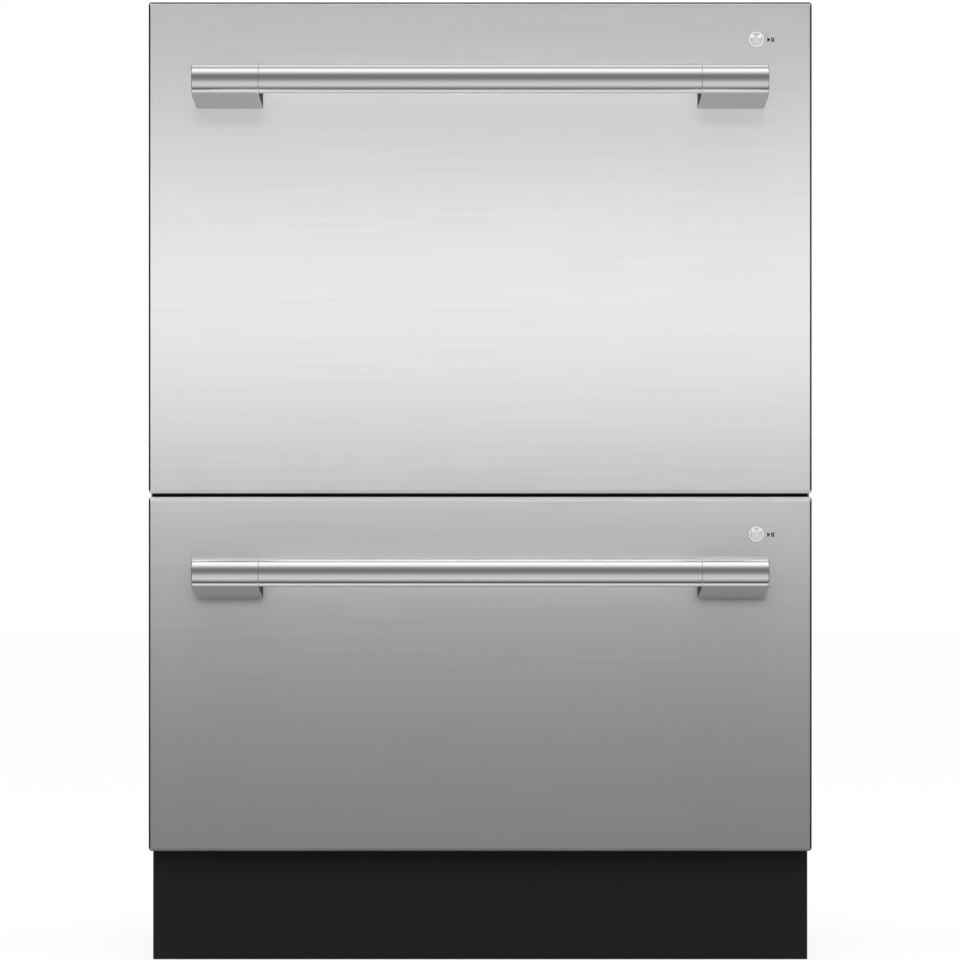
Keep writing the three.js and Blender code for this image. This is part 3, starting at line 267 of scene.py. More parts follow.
# The record's material slots.
FINISHES = {
    "front_steel": brushed_steel("brushed_front_steel", (0.456, 0.46, 0.466), 0.288, 0.74),
    "handle_steel": brushed_steel("handle_steel", (0.92, 0.92, 0.92), 0.17, 0.55, spread="x", lines=0.5),
    "button_metal": brushed_steel("polished_button_rim", (0.95, 0.95, 0.95), 0.5, 0.0, lines=0.3),
    "cabinet_steel": galvanised("galvanised_cabinet", (0.47, 0.48, 0.485)),
    "black_steel": powder_coat("toe_kick_black", (0.0085, 0.0085, 0.009), 0.6, 0.3),
    "rail_steel": brushed_steel("zinc_plated_rail", (0.58, 0.59, 0.6), 0.33, 0.4, "y", edge=0.0008),
    "seal_rubber": rubber("seal_rubber", (0.05, 0.052, 0.055)),
    "coated_wire": coated_wire("coated_wire", (0.68, 0.7, 0.715)),
    "brass": machined_brass("valve_brass", (0.62, 0.45, 0.2)),
}
MOULDINGS = {  # colour, roughness, grain, edges' radius
    "tub": ((0.5, 0.515, 0.525), 0.42, 0.1, 0.0015),
    "frame": ((0.05, 0.052, 0.055), 0.5, 0.25, 0.001),
    "lid": ((0.46, 0.475, 0.485), 0.45, 0.12, 0.0012),
    "dispenser": ((0.27, 0.29, 0.31), 0.45, 0.15, 0.001),
    "cutlery": ((0.38, 0.4, 0.42), 0.45, 0.15, 0.001),
    "filter": ((0.22, 0.24, 0.26), 0.5, 0.15, 0.0006),
    "spray": ((0.17, 0.19, 0.21), 0.4, 0.12, 0.0015),
    "motor": ((0.03, 0.031, 0.033), 0.55, 0.25, 0.001),
    "base": ((0.07, 0.073, 0.076), 0.55, 0.25, 0.0012),
    "black": ((0.025, 0.025, 0.026), 0.5, 0.2, 0.001),
}
for label, look in MOULDINGS.items():
    FINISHES[f"{label}_plastic"] = moulded(f"{label}_moulding", *look)


# Pieces and their places

Point = namedtuple("Point", "x y z")


def box(node):
    """A CAD node's low corner, high corner and middle, in millimetres."""
    low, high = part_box(node)
    return [Point(*[c / MM for c in v]) for v in (low, high, (low + high) / 2)]


def linked(name, data):
    obj = bpy.data.objects.new(name, data)
    bpy.context.scene.collection.objects.link(obj)
    return obj


def piece(name, mesh, slot, body, replaced=(), material=None):
    """Names a mesh's object, and says what it is made of, what it rides on and what it stands for."""
    mesh.name = name
    obj = linked(name, mesh)
    mesh.materials.clear()
    mesh.materials.append(material or FINISHES[slot])
    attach(obj, body)
    if replaced:
        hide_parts(*replaced)
    return obj


def bay_piece(bay, label, mesh, slot, node=None, body="drawer", material=None):
    replaced = [f"{bay}_{node}"] if node else ()
    return piece(f"{bay}_{label}", mesh, slot, f"{bay}_{body}", replaced, material)


# Builders of meshes

AXES = {
    "x": lambda u, v, w: (w, u, v),
    "y": lambda u, v, w: (u, w, v),
    "z": lambda u, v, w: (u, v, w),
}


@contextmanager
def editing(mesh):
    bm = bmesh.new()
    bm.from_mesh(mesh)
    yield bm
    bm.to_mesh(mesh)
    bm.free()


def smooth(mesh, crease):
    mesh.polygons.foreach_set("use_smooth", [True] * len(mesh.polygons))
    mesh.set_sharp_from_angle(angle=math.radians(crease))


def built(verts, faces, crease=35):
    mesh = bpy.data.meshes.new("mesh")
    mesh.from_pydata([[c * MM for c in v] for v in verts], [], faces)
    with editing(mesh) as bm:
        bmesh.ops.remove_doubles(bm, verts=bm.verts, dist=1e-6)
        bmesh.ops.recalc_face_normals(bm, faces=bm.faces)
    smooth(mesh, crease)
    return mesh


def weighted(obj):
    """Keeps large flat faces flat where they run into bends."""
    made = obj.modifiers.new("flat_faces", "WEIGHTED_NORMAL")
    made.keep_sharp = True
    made.weight = 100


def soften(mesh, width, segments=3, angle=30):
    """Rounds a mesh's sharp edges."""
    with editing(mesh) as bm:
        sharp = [e for e in bm.edges if e.is_manifold and e.calc_face_angle() > math.radians(angle)]
        bmesh.ops.bevel(bm, geom=sharp, offset=width * MM, segments=segments, profile=0.5,
                        affect="EDGES", clamp_overlap=True, harden_normals=False)
    smooth(mesh, 50)


def ring_faces(rings, closed=False):
    faces = []
    pairs = list(zip(rings, rings[1:])) + ([(rings[-1], rings[0])] if closed else [])
    for low, high in pairs:
        count = max(len(low), len(high))
        for i in range(count):
            j = (i + 1) % count
            corners = [low[i % len(low)], low[j % len(low)], high[j % len(high)], high[i % len(high)]]
            corners = list(dict.fromkeys(corners))
            if len(corners) > 2:
                faces.append(corners)
    return faces


def lathe(profile, axis, centre, segments=64, crease=35):
    """A turned shape. The profile lists (radius, place along the axis); a radius of 0 closes it."""
    verts, rings = [], []
    for radius, place in profile:
        count = segments if radius else 1
        rings.append(list(range(len(verts), len(verts) + count)))
        for i in range(count):
            angle = 2 * math.pi * i / segments
            u, v = centre[0] + radius * math.cos(angle), centre[1] + radius * math.sin(angle)
            verts.append(AXES[axis](u, v, place))
    return built(verts, ring_faces(rings), crease)


def rod(axis, radius, span, centre, segments=32):
    return lathe([(0, span[0]), (radius, span[0]), (radius, span[1]), (0, span[1])], axis, centre, segments)


def shell(rows, crease=35):
    """Rows of points, each joined to the next, and the first and last closed by a face."""
    count = len(rows[0])
    verts = [p for row in rows for p in row]
    rings = [list(range(i * count, (i + 1) * count)) for i in range(len(rows))]
    return built(verts, ring_faces(rings) + [rings[0][::-1], rings[-1]], crease)


def pushed(outline, axis, start, end):
    """A closed outline of (u, v) points pushed along an axis."""
    verts = [AXES[axis](u, v, w) for w in (start, end) for u, v in outline]
    near = list(range(len(outline)))
    far = [i + len(outline) for i in near]
    return built(verts, ring_faces([near, far]) + [near, far[::-1]])


def arc(centre, radius, start, end, steps):
    """Points of an arc between two angles in degrees, both ends included."""
    angles = [math.radians(start + (end - start) * i / steps) for i in range(steps + 1)]
    return [(centre[0] + radius * math.cos(a), centre[1] + radius * math.sin(a)) for a in angles]


def rectangle(u0, u1, v0, v1):
    return [(u0, v0), (u1, v0), (u1, v1), (u0, v1)]


def rounded_rect(u0, u1, v0, v1, radius, steps=8):
    centres = rectangle(u0 + radius, u1 - radius, v0 + radius, v1 - radius)
    return [p for i in range(4) for p in arc(centres[i - 2], radius, 90 * i, 90 * i + 90, steps)]


def circle(centre, radius):
    """As many points as a rounded rectangle has, so that the two can be joined."""
    u, v = centre
    return rounded_rect(u - radius, u + radius, v - radius, v + radius, radius)


def at(z, points):
    return [(x, y, z) for x, y in points]


def walls(x, y, corner, rows):
    """Rounded rectangles between two spans, one for each row of an inset and a height."""
    return [at(z, rounded_rect(x[0] + inset, x[1] - inset, y[0] + inset, y[1] - inset, corner - inset))
            for inset, z in rows]


def around(middle, length):
    return (middle - length / 2, middle + length / 2)


def spread(start, end, pitch):
    """Evenly spaced places from start to end, no further apart than the pitch."""
    count = max(1, math.ceil((end - start) / pitch - 1e-6))
    return [start + (end - start) * i / count for i in range(count + 1)]


def doubled(places):
    """The places, and the middle of each two neighbours."""
    return sorted(places + [(a + b) / 2 for a, b in zip(places, places[1:])])


def block(x, y, z, edge=0.8, segments=2):
    """A block with rounded edges, from three spans."""
    mesh = pushed(rectangle(*sorted(x), *sorted(y)), "z", *sorted(z))
    if edge:
        soften(mesh, edge, segments)
    return mesh


def turned(mesh, centre, share):
    """Moves a mesh to a vertical axis, turned about it by a share of a full turn."""
    place = Matrix.Translation((centre.x * MM, centre.y * MM, 0))
    mesh.transform(place @ Matrix.Rotation(2 * math.pi * share, 4, "Z"))
    return mesh


def welded(node):
    """A copy of a CAD node's mesh whose triangles share their corners."""
    mesh = frame["nodes"][node].data.copy()
    with editing(mesh) as bm:
        bmesh.ops.remove_doubles(bm, verts=bm.verts, dist=1e-6)
        bmesh.ops.dissolve_limit(bm, angle_limit=0.01, verts=bm.verts, edges=bm.edges)
    return mesh


def together(meshes, crease=35):
    bm = bmesh.new()
    for mesh in meshes:
        bm.from_mesh(mesh)
        bpy.data.meshes.remove(mesh)
    made = bpy.data.meshes.new("mesh")
    bm.to_mesh(made)
    bm.free()
    smooth(made, crease)
    return made


def carved(mesh, cutters, crease=35):
    """A mesh less the cutters' meshes."""
    obj, cutter = linked("work", mesh), linked("cutter", together(cutters))
    made = obj.modifiers.new("cut", "BOOLEAN")
    made.operation = "DIFFERENCE"
    made.solver = "EXACT"
    made.object = cutter
    bpy.context.view_layer.update()
    graph = bpy.context.evaluated_depsgraph_get()
    result = bpy.data.meshes.new_from_object(obj.evaluated_get(graph))
    for used in (obj, cutter):
        bpy.data.meshes.remove(used.data)
    smooth(result, crease)
    return result


class Wires:
    """Round wires that make one mesh."""

    SIDES = 10

    def __init__(self):
        self.verts, self.faces = [], []

    def ring(self, centre, across, up, radius):
        start = len(self.verts)
        for i in range(self.SIDES):
            angle = 2 * math.pi * i / self.SIDES
            self.verts.append(centre + (across * math.cos(angle) + up * math.sin(angle)) * radius)
        return list(range(start, start + self.SIDES))

    def add(self, path, radius, closed=False):
        """A wire along a path; an open one ends in two domes."""
        path = [Vector(p) for p in path]
        longer = [path[-1], *path, path[0]] if closed else [path[0], *path, path[-1]]
        tangents = [(after - before).normalized() for before, after in zip(longer, longer[2:])]
        across = tangents[0].orthogonal().normalized()
        rings = []
        for i, (point, tangent) in enumerate(zip(path, tangents)):
            across = (across - tangent * across.dot(tangent)).normalized()
            up = tangent.cross(across)
            first, last = (not closed and i == end for end in (0, len(path) - 1))
            for turn in map(math.radians, [-80, -50, -25] * first + [0] + [25, 50, 80] * last):
                place = point + tangent * radius * math.sin(turn)
                rings.append(self.ring(place, across, up, radius * math.cos(turn)))
        if not closed:
            self.faces += [rings[0][::-1], rings[-1]]
        self.faces += ring_faces(rings, closed)

    def mesh(self):
        return built(self.verts, self.faces, 60)


# Camera, floor and light

CAMERA_DISTANCE = 7.0
CAMERA_SHIFT = -0.0002  # sideways
FRAME_WIDTH = 0.8672  # of the view, at the fronts' faces
TOP_MARGIN = 0.0018  # from the upper front's top edge to the frame's edge


def make_camera():
    low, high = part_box("upper_front_skin")
    camera = linked("camera", bpy.data.cameras.new("camera"))
    camera.data.sensor_width = 36.0
    camera.data.lens = camera.data.sensor_width * CAMERA_DISTANCE / FRAME_WIDTH
    camera.data.clip_end = 100
    height = high.z + TOP_MARGIN - FRAME_WIDTH / 2
    camera.location = (CAMERA_SHIFT, low.y - CAMERA_DISTANCE, height)
    camera.rotation_euler = (math.pi / 2, 0, 0)
    bpy.context.scene.camera = camera


# How a lamp that stands near the fronts fades with distance, so that an open drawer is no brighter,
# and the angle that the long strips shine in, so that the fronts are no brighter from the side.
FADES = {"Linear": 1, "Constant": 2}
STRIP_SPREAD = math.radians(149)


def area_light(name, place, target, width, height, power, receivers, blockers=None, fade=None):
    data = bpy.data.lights.new(name, "AREA")
    data.shape = "RECTANGLE"
    data.size, data.size_y = width, height
    data.energy = power
    direction = Vector(target) - Vector(place)
    if fade:
        data.use_nodes = True
        tree = data.node_tree
        falloff = tree.nodes.new("ShaderNodeLightFalloff")
        falloff.inputs["Strength"].default_value = direction.length ** -FADES[fade]
        tree.links.new(falloff.outputs[fade], tree.nodes["Emission"].inputs["Strength"])
    if fade == "Linear":
        data.spread = STRIP_SPREAD
    light = linked(name, data)
    light.location = place
    light.rotation_euler = direction.to_track_quat("-Z", "Y").to_euler()
    light.visible_camera = False
    light.light_linking.receiver_collection = receivers
    if blockers is not None:
        light.light_linking.blocker_collection = blockers


def group(name, objects, exclude=False):
    made = bpy.data.collections.new(name)
    for obj in objects:
        made.objects.link(obj)
    if exclude:
        for entry in made.collection_objects:
            entry.light_linking.link_state = "EXCLUDE"
    return made


# Strip lights in front of the fronts: height above the floor, their own height, power, and whether
# the upper handle's posts stand in their light. The lower handle's posts always do, the bars never.
STRIP_PLACE, STRIP_WIDTH = -1.35, 4.0
STRIPS = [(0.6, 0.14, 5.95, False), (0.72, 0.14, 1.6, False), (1.25, 0.14, 4.0, True)]
# Lamps on the fronts' bends and on all that isn't bright metal: place, target, width, height, power.
BEND_GLINT = ((0, -1.1, 3.2), (0, -0.25, 0.7), 4.0, 0.5, 25.0)
OVERHEAD = ((0, -1.2, 3.1), (0, -0.31, 0.7), 3.4, 1.3, 20.0)
FILL = ((0, -6.0, 2.2), (0, 0, 0.6), 4.0, 3.0, 60.0)
# A lamp on each handle alone, at the front's face below it, for the light that the steel throws back.
UNDERGLOW_DROP, UNDERGLOW = 0.165, (1.2, 0.21, 0.37)  # width, height, power
# Lamps on the start buttons' discs and rims alone: place from the button, size, power.
DISC_LIGHTS = [
    ((0.1, -2.75, 0.1), 1.6, 4.8),
    ((-0.62, -2.75, 0.75), 0.35, 4.6),
    ((0.75, -2.75, 0.72), 0.35, 3.0),
]
RIM_LIGHTS = [((0.1, -2.75, 0.1), 1.6, 24.0)]

# What metal sees round the machine: brightness by the angle in degrees from the front horizon,
# over the top to the back (180) and under it to the back again (-180).
STUDIO = [
    (-180, 1.0), (-133, 0.9), (-112, 0.5), (-100, 0.12), (-84, 0.1), (-77, 0.3), (-69, 0.45),
    (-51, 0.68), (-26, 0.54), (-10, 0.29), (4, 0.19), (14, 0.165), (25, 0.2), (39, 0.34), (50, 0.72),
    (58, 0.95), (75, 1.15), (82, 1.0), (90, 0.46), (97, 0.42), (104, 0.5), (115, 0.8), (125, 0.92),
    (180, 1.0),
]
STUDIO_SIDES = 0.25
AMBIENT = 0.55


def make_world():
    """White to the camera; metal sees a studio with a softbox overhead, dark to the left and right."""
    world = bpy.data.worlds.new("studio")
    bpy.context.scene.world = world
    shader = Shader(world)
    x, y, z = shader.node("SeparateXYZ", {0: shader.places["Generated"]}).outputs
    turn = shader.maths("ARCTAN2", z, shader.maths("MULTIPLY", y, -1.0))
    share = shader.level(turn, 0.0, 1.0, -math.pi, math.pi)
    studio = shader.ramp(share, [((angle + 180) / 360, value) for angle, value in STUDIO])
    sideways = shader.level(shader.maths("ABSOLUTE", x), 0.0, 1.0, 0.7, 0.9)
    mirrored = shader.mix(sideways, studio, grey(STUDIO_SIDES))
    path = shader.node("LightPath").outputs
    shiny = shader.maths("MAXIMUM", path["Is Glossy Ray"], path["Is Transmission Ray"])
    lit = shader.mix(shiny, grey(AMBIENT), mirrored)
    seen = shader.mix(path["Is Camera Ray"], lit, grey(1.0))
    background = shader.node("Background", {"Color": seen, "Strength": 1.0}).outputs[0]
    shader.node("OutputWorld", {"Surface": background})


FLOOR_HALF, FLOOR_DROP = 15.0, 0.0004
FLOOR_LIFT, FLOOR_SHADE = 0.82, 0.3  # what the camera sees: a white that keeps the shadow


def make_floor():
    mesh = bpy.data.meshes.new("floor")
    mesh.from_pydata(at(0, rectangle(*[-FLOOR_HALF, FLOOR_HALF] * 2)), [], [(0, 1, 2, 3)])
    floor = linked("floor", mesh)
    floor.location.z = -FLOOR_DROP
    floor.visible_glossy = False
    shader = new_shader("pale_floor")
    tone = shader.level(shader.noise(3, detail=3), 0.78, 0.82)
    plain, shadowed = [shader.node("BsdfDiffuse", {"Color": colour}).outputs[0]
                       for colour in (tone, grey(FLOOR_SHADE))]
    lift = shader.node("Emission", {"Color": grey(1.0), "Strength": FLOOR_LIFT}).outputs[0]
    white = shader.node("AddShader", {0: shadowed, 1: lift}).outputs[0]
    path = shader.node("LightPath").outputs
    mixed = shader.node("MixShader", {0: path["Is Camera Ray"], 1: plain, 2: white}).outputs[0]
    shader.node("OutputMaterial", {"Surface": mixed})
    mesh.materials.append(shader.owner)


# Fronts

SKIN = 1.0
TOP_BEND, BOTTOM_BEND, SIDE_BEND = 4, 3, 2
FACE_CORNER, FACE_CORNER_INNER = 2.5, 0.7
CORNER_STEPS = 6
BUTTON_HOLE = 7.15  # radius


def front_ring(low, high, turn, inset):
    """One ring of the folded front: turn goes from 0, the face, to 1, the folded edges."""
    sine, cosine = math.sin(turn * math.pi / 2), math.cos(turn * math.pi / 2)
    bends = [max(bend - inset, 0.15) for bend in (SIDE_BEND, TOP_BEND, SIDE_BEND, BOTTOM_BEND)]
    right, top, left, bottom = [bend * (1 - sine) + inset for bend in bends]
    corner = max(FACE_CORNER_INNER + (FACE_CORNER - FACE_CORNER_INNER) * sine - inset, 0.1)
    outline = rounded_rect(low.x + left, high.x - right, low.z + bottom, high.z - top, corner, CORNER_STEPS)
    points = []
    for i, (x, z) in enumerate(outline):
        side, step = divmod(i, CORNER_STEPS + 1)
        first, second = bends[side], bends[(side + 1) % 4]
        bend = first + (second - first) * step / CORNER_STEPS
        points.append((x, low.y + inset + bend * (1 - cosine), z))
    return points


def front_skin(bay):
    """The folded steel front: a flat face, a bend of its own on each side, and the button's hole."""
    low, high, _ = box(f"{bay}_front_skin")
    _, _, button = box(f"{bay}_start_button")
    turns = [i / 8 for i in range(9)]
    outside = [front_ring(low, high, turn, 0.0) for turn in turns]
    inside = [front_ring(low, high, turn, SKIN) for turn in reversed(turns)]
    backs = [[(x, high.y, z) for x, _, z in row] for row in (outside[-1], inside[0])]
    hole = rod("y", BUTTON_HOLE, around(low.y, 20), (button.x, button.z), 64)
    mesh = carved(shell(outside + backs + inside, 50), [hole], 50)
    obj = bay_piece(bay, "front", mesh, "front_steel", "front_skin")
    # The bends' faces take materials of painted shade and painted highlights, in place of the light that
    # their curves catch.
    for material in BEND_PAINTED_LIGHT[bay]:
        mesh.materials.append(material)
    for face in mesh.polygons:
        x, y, z = face.center / MM
        depth = y - low.y
        if face.normal.z > 0.6 and depth < TOP_BEND:
            face.material_index = 2
        elif face.normal.z < -0.2 and depth < BOTTOM_BEND and z < low.z + BOTTOM_BEND:
            face.material_index = 3
        elif abs(face.normal.x) > 0.25 and depth < SIDE_BEND and abs(x) > high.x - SIDE_BEND:
            face.material_index = 1
    weighted(obj)
    return obj


# Handles

BAR_RADIUS, BAR_WALL, BAR_LIP = 13, 4, 0.1
POST_RISE, POST_LEAN = 11.3, 2.4
END_LENGTH, END_GAP = 60, 0.2


def handle_bar(bay):
    _, high, centre = box(f"{bay}_handle_bar")
    half, bore, lip = high.x + 0.25, BAR_RADIUS - BAR_WALL, BAR_LIP
    mesh = lathe([
        (bore, -half), (BAR_RADIUS - lip, -half), (BAR_RADIUS, lip - half), (BAR_RADIUS, half - lip),
        (BAR_RADIUS - lip, half), (bore, half), (bore, -half),
    ], "x", (centre.y, centre.z), 96)
    return bay_piece(bay, "bar", mesh, "handle_steel", "handle_bar")


def handle_end(bay, label, side):
    """The bar's round end and its post, which drops a little towards the front and leans inwards."""
    _, _, axis = box(f"{bay}_handle_bar")
    low, high, _ = box(f"{bay}_handle_end_{label}")
    outer = max(abs(low.x), abs(high.x))
    inner = outer - END_LENGTH
    back = axis.y + BAR_RADIUS
    under, over = axis.z - BAR_RADIUS, axis.z + BAR_RADIUS
    drop = POST_RISE / (high.y - axis.y)
    outline = arc((axis.y, axis.z), BAR_RADIUS, 90, 270, 48) + [
        (back, under - drop * BAR_RADIUS), (high.y, under - POST_RISE), (high.y, over), (back, over),
    ]
    leans = [side * POST_LEAN * max(0.0, (y - back) / (high.y - back)) for y, _ in outline]
    verts = [(side * x - lean, y, z) for x in (inner, outer) for lean, (y, z) in zip(leans, outline)]
    count = len(outline)
    near, far = list(range(count)), list(range(count, 2 * count))
    post, nose = near[-4:], near[:-4] + [near[-4], near[-1]]
    faces = ring_faces([near, far])
    faces += [[i + shift for i in face] for face in (post, nose) for shift in (0, count)]
    mesh = built(verts, faces, 30)
    soften(mesh, 0.9)
    obj = bay_piece(bay, f"end_{label}", mesh, "handle_steel", f"handle_end_{label}")
    mesh.materials.append(HANDLE_SIDE_PAINTED_SHADE)
    mesh.materials.append(POST_UNDERSIDE_PAINTED_SHADE)
    for face in mesh.polygons:
        x, y, _ = face.center / MM
        # Painted shade: the ends' side faces and the outer end's rounded edges take the dark material.
        if abs(face.normal.x) > (0.4 if side * x > outer - 5 else 0.9):
            face.material_index = 1
        # Painted shade: the upper posts' undersides take the darker steel.
        elif bay == "upper" and face.normal.z < -0.9 and y > axis.y:
            face.material_index = 2
    weighted(obj)
    profile = [(0, 0), (8.7, 0), (8.7, 18.5), (7.7, 19.5), (0, 19.5)]
    spigot = lathe([(radius, side * (inner + END_GAP - depth)) for radius, depth in profile],
                   "x", (axis.y, axis.z), 48)
    return obj, bay_piece(bay, f"spigot_{label}", spigot, "handle_steel")


# Start button and its printed sign

DISC_RADIUS, RIM_OUTER, RIM_INNER, RIM_STAND = 5.4, 6.9, 5.6, 0.55
SIGN_HALF, SIGN_THICK = 2.0, 0.05


def start_button(bay):
    low, high, centre = box(f"{bay}_start_button")
    face, radius, flange = low.y, DISC_RADIUS, DISC_RADIUS + 2
    steel = box(f"{bay}_front_skin")[0].y
    disc = lathe([
        (0, face + 0.12), (radius - 0.5, face), (radius - 0.15, face + 0.05), (radius, face + 0.2),
        (radius, high.y - 2), (flange, high.y - 2), (flange, high.y), (0, high.y),
    ], "y", (centre.x, centre.z), 96)
    disc = bay_piece(bay, "start_disc", disc, "button_metal", "start_button", "start_button_body",
                     BUTTON_FACE)
    rim = lathe([(radius, steel - RIM_STAND + depth) for radius, depth in (
        (RIM_INNER, 1.2), (RIM_INNER, 0.15), (RIM_INNER + 0.05, 0.05), (RIM_INNER + 0.15, 0),
        (RIM_OUTER - 0.2, 0), (RIM_OUTER - 0.06, 0.06), (RIM_OUTER, 0.2), (RIM_OUTER, 1.2), (RIM_INNER, 1.2),
    )], "y", (centre.x, centre.z), 96)
    rim = bay_piece(bay, "start_rim", rim, "button_metal")
    printed_sign(bay, centre, steel)
    return disc, rim


def printed_sign(bay, centre, steel):
    """The play and pause sign beside the button, printed on the steel."""
    level, left = centre.z - 0.5, centre.x + 9.8
    low, high = level - SIGN_HALF, level + SIGN_HALF
    shapes = {
        "play": [(left, level - 1.15 * SIGN_HALF), (left + 2.7, level), (left, level + 1.15 * SIGN_HALF)],
        "pause_a": rectangle(left + 3.6, left + 4.7, low, high),
        "pause_b": rectangle(left + 5.2, left + 6.3, low, high),
    }
    for label, outline in shapes.items():
        mesh = pushed(outline, "y", steel - SIGN_THICK, steel + SIGN_THICK)
        bay_piece(bay, label, mesh, "black_plastic", material=PRINT_BLACK)


# Baskets and their tines

RIM_WIRE, WIRE = 2.2, 1.6  # radii
TINE_HEIGHT, TINE_PITCH, TINE_MARGIN = 65, 42, 28
FOLDING_X, FIXED_X, SECOND_ROW = -90, 40, 120
BASKET_CORNER = 30
AXLE, AXLE_GAP = 2, 0.3


def basket_levels(bay):
    """The basket's corners, and the top of the wires of its floor."""
    low, high, _ = box(f"{bay}_basket")
    return low, high, low.z + 1 + RIM_WIRE + WIRE


def tine_places(bay):
    low, high, _ = basket_levels(bay)
    return spread(low.y + TINE_MARGIN, high.y - TINE_MARGIN, TINE_PITCH)


def wire_basket(bay):
    low, high, wires_top = basket_levels(bay)
    side, front, back = high.x - RIM_WIRE, low.y + RIM_WIRE, high.y - RIM_WIRE
    straight_x = high.x - BASKET_CORNER
    straight_y = (low.y + BASKET_CORNER, high.y - BASKET_CORNER)
    wires = Wires()
    loops = [z + RIM_WIRE for z in spread(low.z + 1, high.z - 2 * RIM_WIRE, 140)]
    for z in loops:
        loop = rounded_rect(-side, side, front, back, BASKET_CORNER - RIM_WIRE)
        wires.add(at(z, loop), RIM_WIRE, closed=True)
    inward = RIM_WIRE + WIRE - 0.5
    foot, head = loops[0], loops[-1]
    places = [(x, y) for x in doubled(spread(-straight_x, straight_x, 88))
              for y in (front + inward, back - inward)]
    places += [(x, y) for y in doubled(spread(*straight_y, 88)) for x in (inward - side, side - inward)]
    for x, y in places:
        wires.add([(x, y, z) for z in (foot, (foot + head) / 2, head)], WIRE)
    cross_z, long_z = wires_top - WIRE, wires_top - 2 * WIRE
    for y in doubled(spread(*straight_y, 90)):
        wires.add(at(cross_z, [(-side, y), (0, y), (side, y)]), WIRE)
    rows = [FIXED_X] if bay == "upper" else [FIXED_X, FIXED_X + SECOND_ROW]
    for x in doubled(spread(-straight_x, straight_x, 115)) + [FOLDING_X] + rows:
        wires.add(at(long_z, [(x, front), (x, 0), (x, back)]), WIRE)
    tines = tine_places(bay)
    for x in rows:
        for y in tines:
            wires.add([(x, y, long_z), (x, y, wires_top + TINE_HEIGHT - WIRE)], WIRE)
    bay_piece(bay, "wire_basket", wires.mesh(), "coated_wire", "basket")
    axle_z = wires_top + AXLE_GAP + AXLE
    clips = []
    for i in (0, (len(tines) - 1) // 2, len(tines) - 2):
        middle = (tines[i] + tines[i + 1]) / 2
        bottom = long_z - 0.8
        outline = [(FOLDING_X - 5, bottom), (FOLDING_X + 5, bottom)]
        clip = pushed(outline + arc((FOLDING_X, axle_z), 5, 0, 180, 12), "y", *around(middle, 8))
        soften(clip, 0.5, 2)
        clips.append(carved(clip, [rod("y", AXLE + 0.45, around(middle, 12), (FOLDING_X, axle_z))]))
    bay_piece(bay, "tine_clips", together(clips), "filter_plastic")


def folding_tines(bay):
    low, high, middle = box(f"{bay}_tine_row")
    x, z = middle.x, low.z + AXLE
    wires = Wires()
    wires.add(at(z, [(x, low.y + AXLE), (x, 0), (x, high.y - AXLE)]), AXLE)
    for y in tine_places(bay):
        wires.add([(x, y, z), (x, y, high.z - WIRE)], WIRE)
    bay_piece(bay, "folding_tines", wires.mesh(), "coated_wire", "tine_row", "tine_row_body")


def cutlery_basket(bay):
    """A perforated basket: round corners, a rolled rim, dividers, and a grip with a finger hole."""
    low, high, (x, y, _) = box(f"{bay}_cutlery_basket")
    top = low.z + 100
    mesh = shell(walls((low.x, high.x), (low.y, high.y), 12, [(inset, low.z + z) for inset, z in (
        (5, 0), (3.4, 0.8), (2.6, 2.4), (2.2, 5), (1.2, 92), (1.2, 96.8), (0.3, 97.3), (0, 98), (0, 99.2),
        (0.8, 100), (2.6, 100), (3.4, 99.2), (3.6, 96), (4.6, 5.4), (6, 2.4),
    )]))
    holes = []
    for z in spread(low.z + 14, top - 14, 12):
        holes += [block((low.x - 1, high.x + 1), around(place, 6), around(z, 7), 0)
                  for place in spread(low.y + 18, high.y - 18, 12)]
        holes += [block(around(place, 6), (low.y - 1, high.y + 1), around(z, 7), 0)
                  for place in spread(low.x + 18, high.x - 18, 12)]
    mesh = carved(mesh, [together(holes[i::2]) for i in range(2)])
    mesh = carved(mesh, [
        block(around(u, 8), around(v, 12), (low.z - 1, low.z + 3), 0)
        for u in spread(low.x + 16, high.x - 16, 13) for v in spread(low.y + 20, high.y - 20, 19)
    ])
    tall, wide, deep = (low.z + 2, top - 8), (low.x + 4, high.x - 4), (low.y + 4, high.y - 4)
    fillings = [block(around(x, 1.8), deep, tall, 0.4)]
    fillings += [block(wide, around(place, 1.8), tall, 0.4) for place in spread(*deep, 46)[1:-1]]
    grip = pushed(rounded_rect(x - 40, x + 40, low.z + 60, high.z, 16), "y", *around(y, 5))
    finger = pushed(rounded_rect(x - 28, x + 28, top + 10, high.z - 10, 9), "y", *around(y, 10))
    grip = carved(grip, [finger])
    soften(grip, 0.9, 3, 50)
    bay_piece(bay, "cutlery", together([mesh, grip] + fillings), "cutlery_plastic", "cutlery_basket")


# Tub, filter, spray arm, dispenser and wash motor

WALL, FLANGE, TUB_CORNER = 3, 8, 45
SUMP_RADIUS, SUMP_DEPTH = 95, 18
RIB, RIB_REACH = 2.2, 3.5
PAD_X, PAD_WIDTH = 274, 12


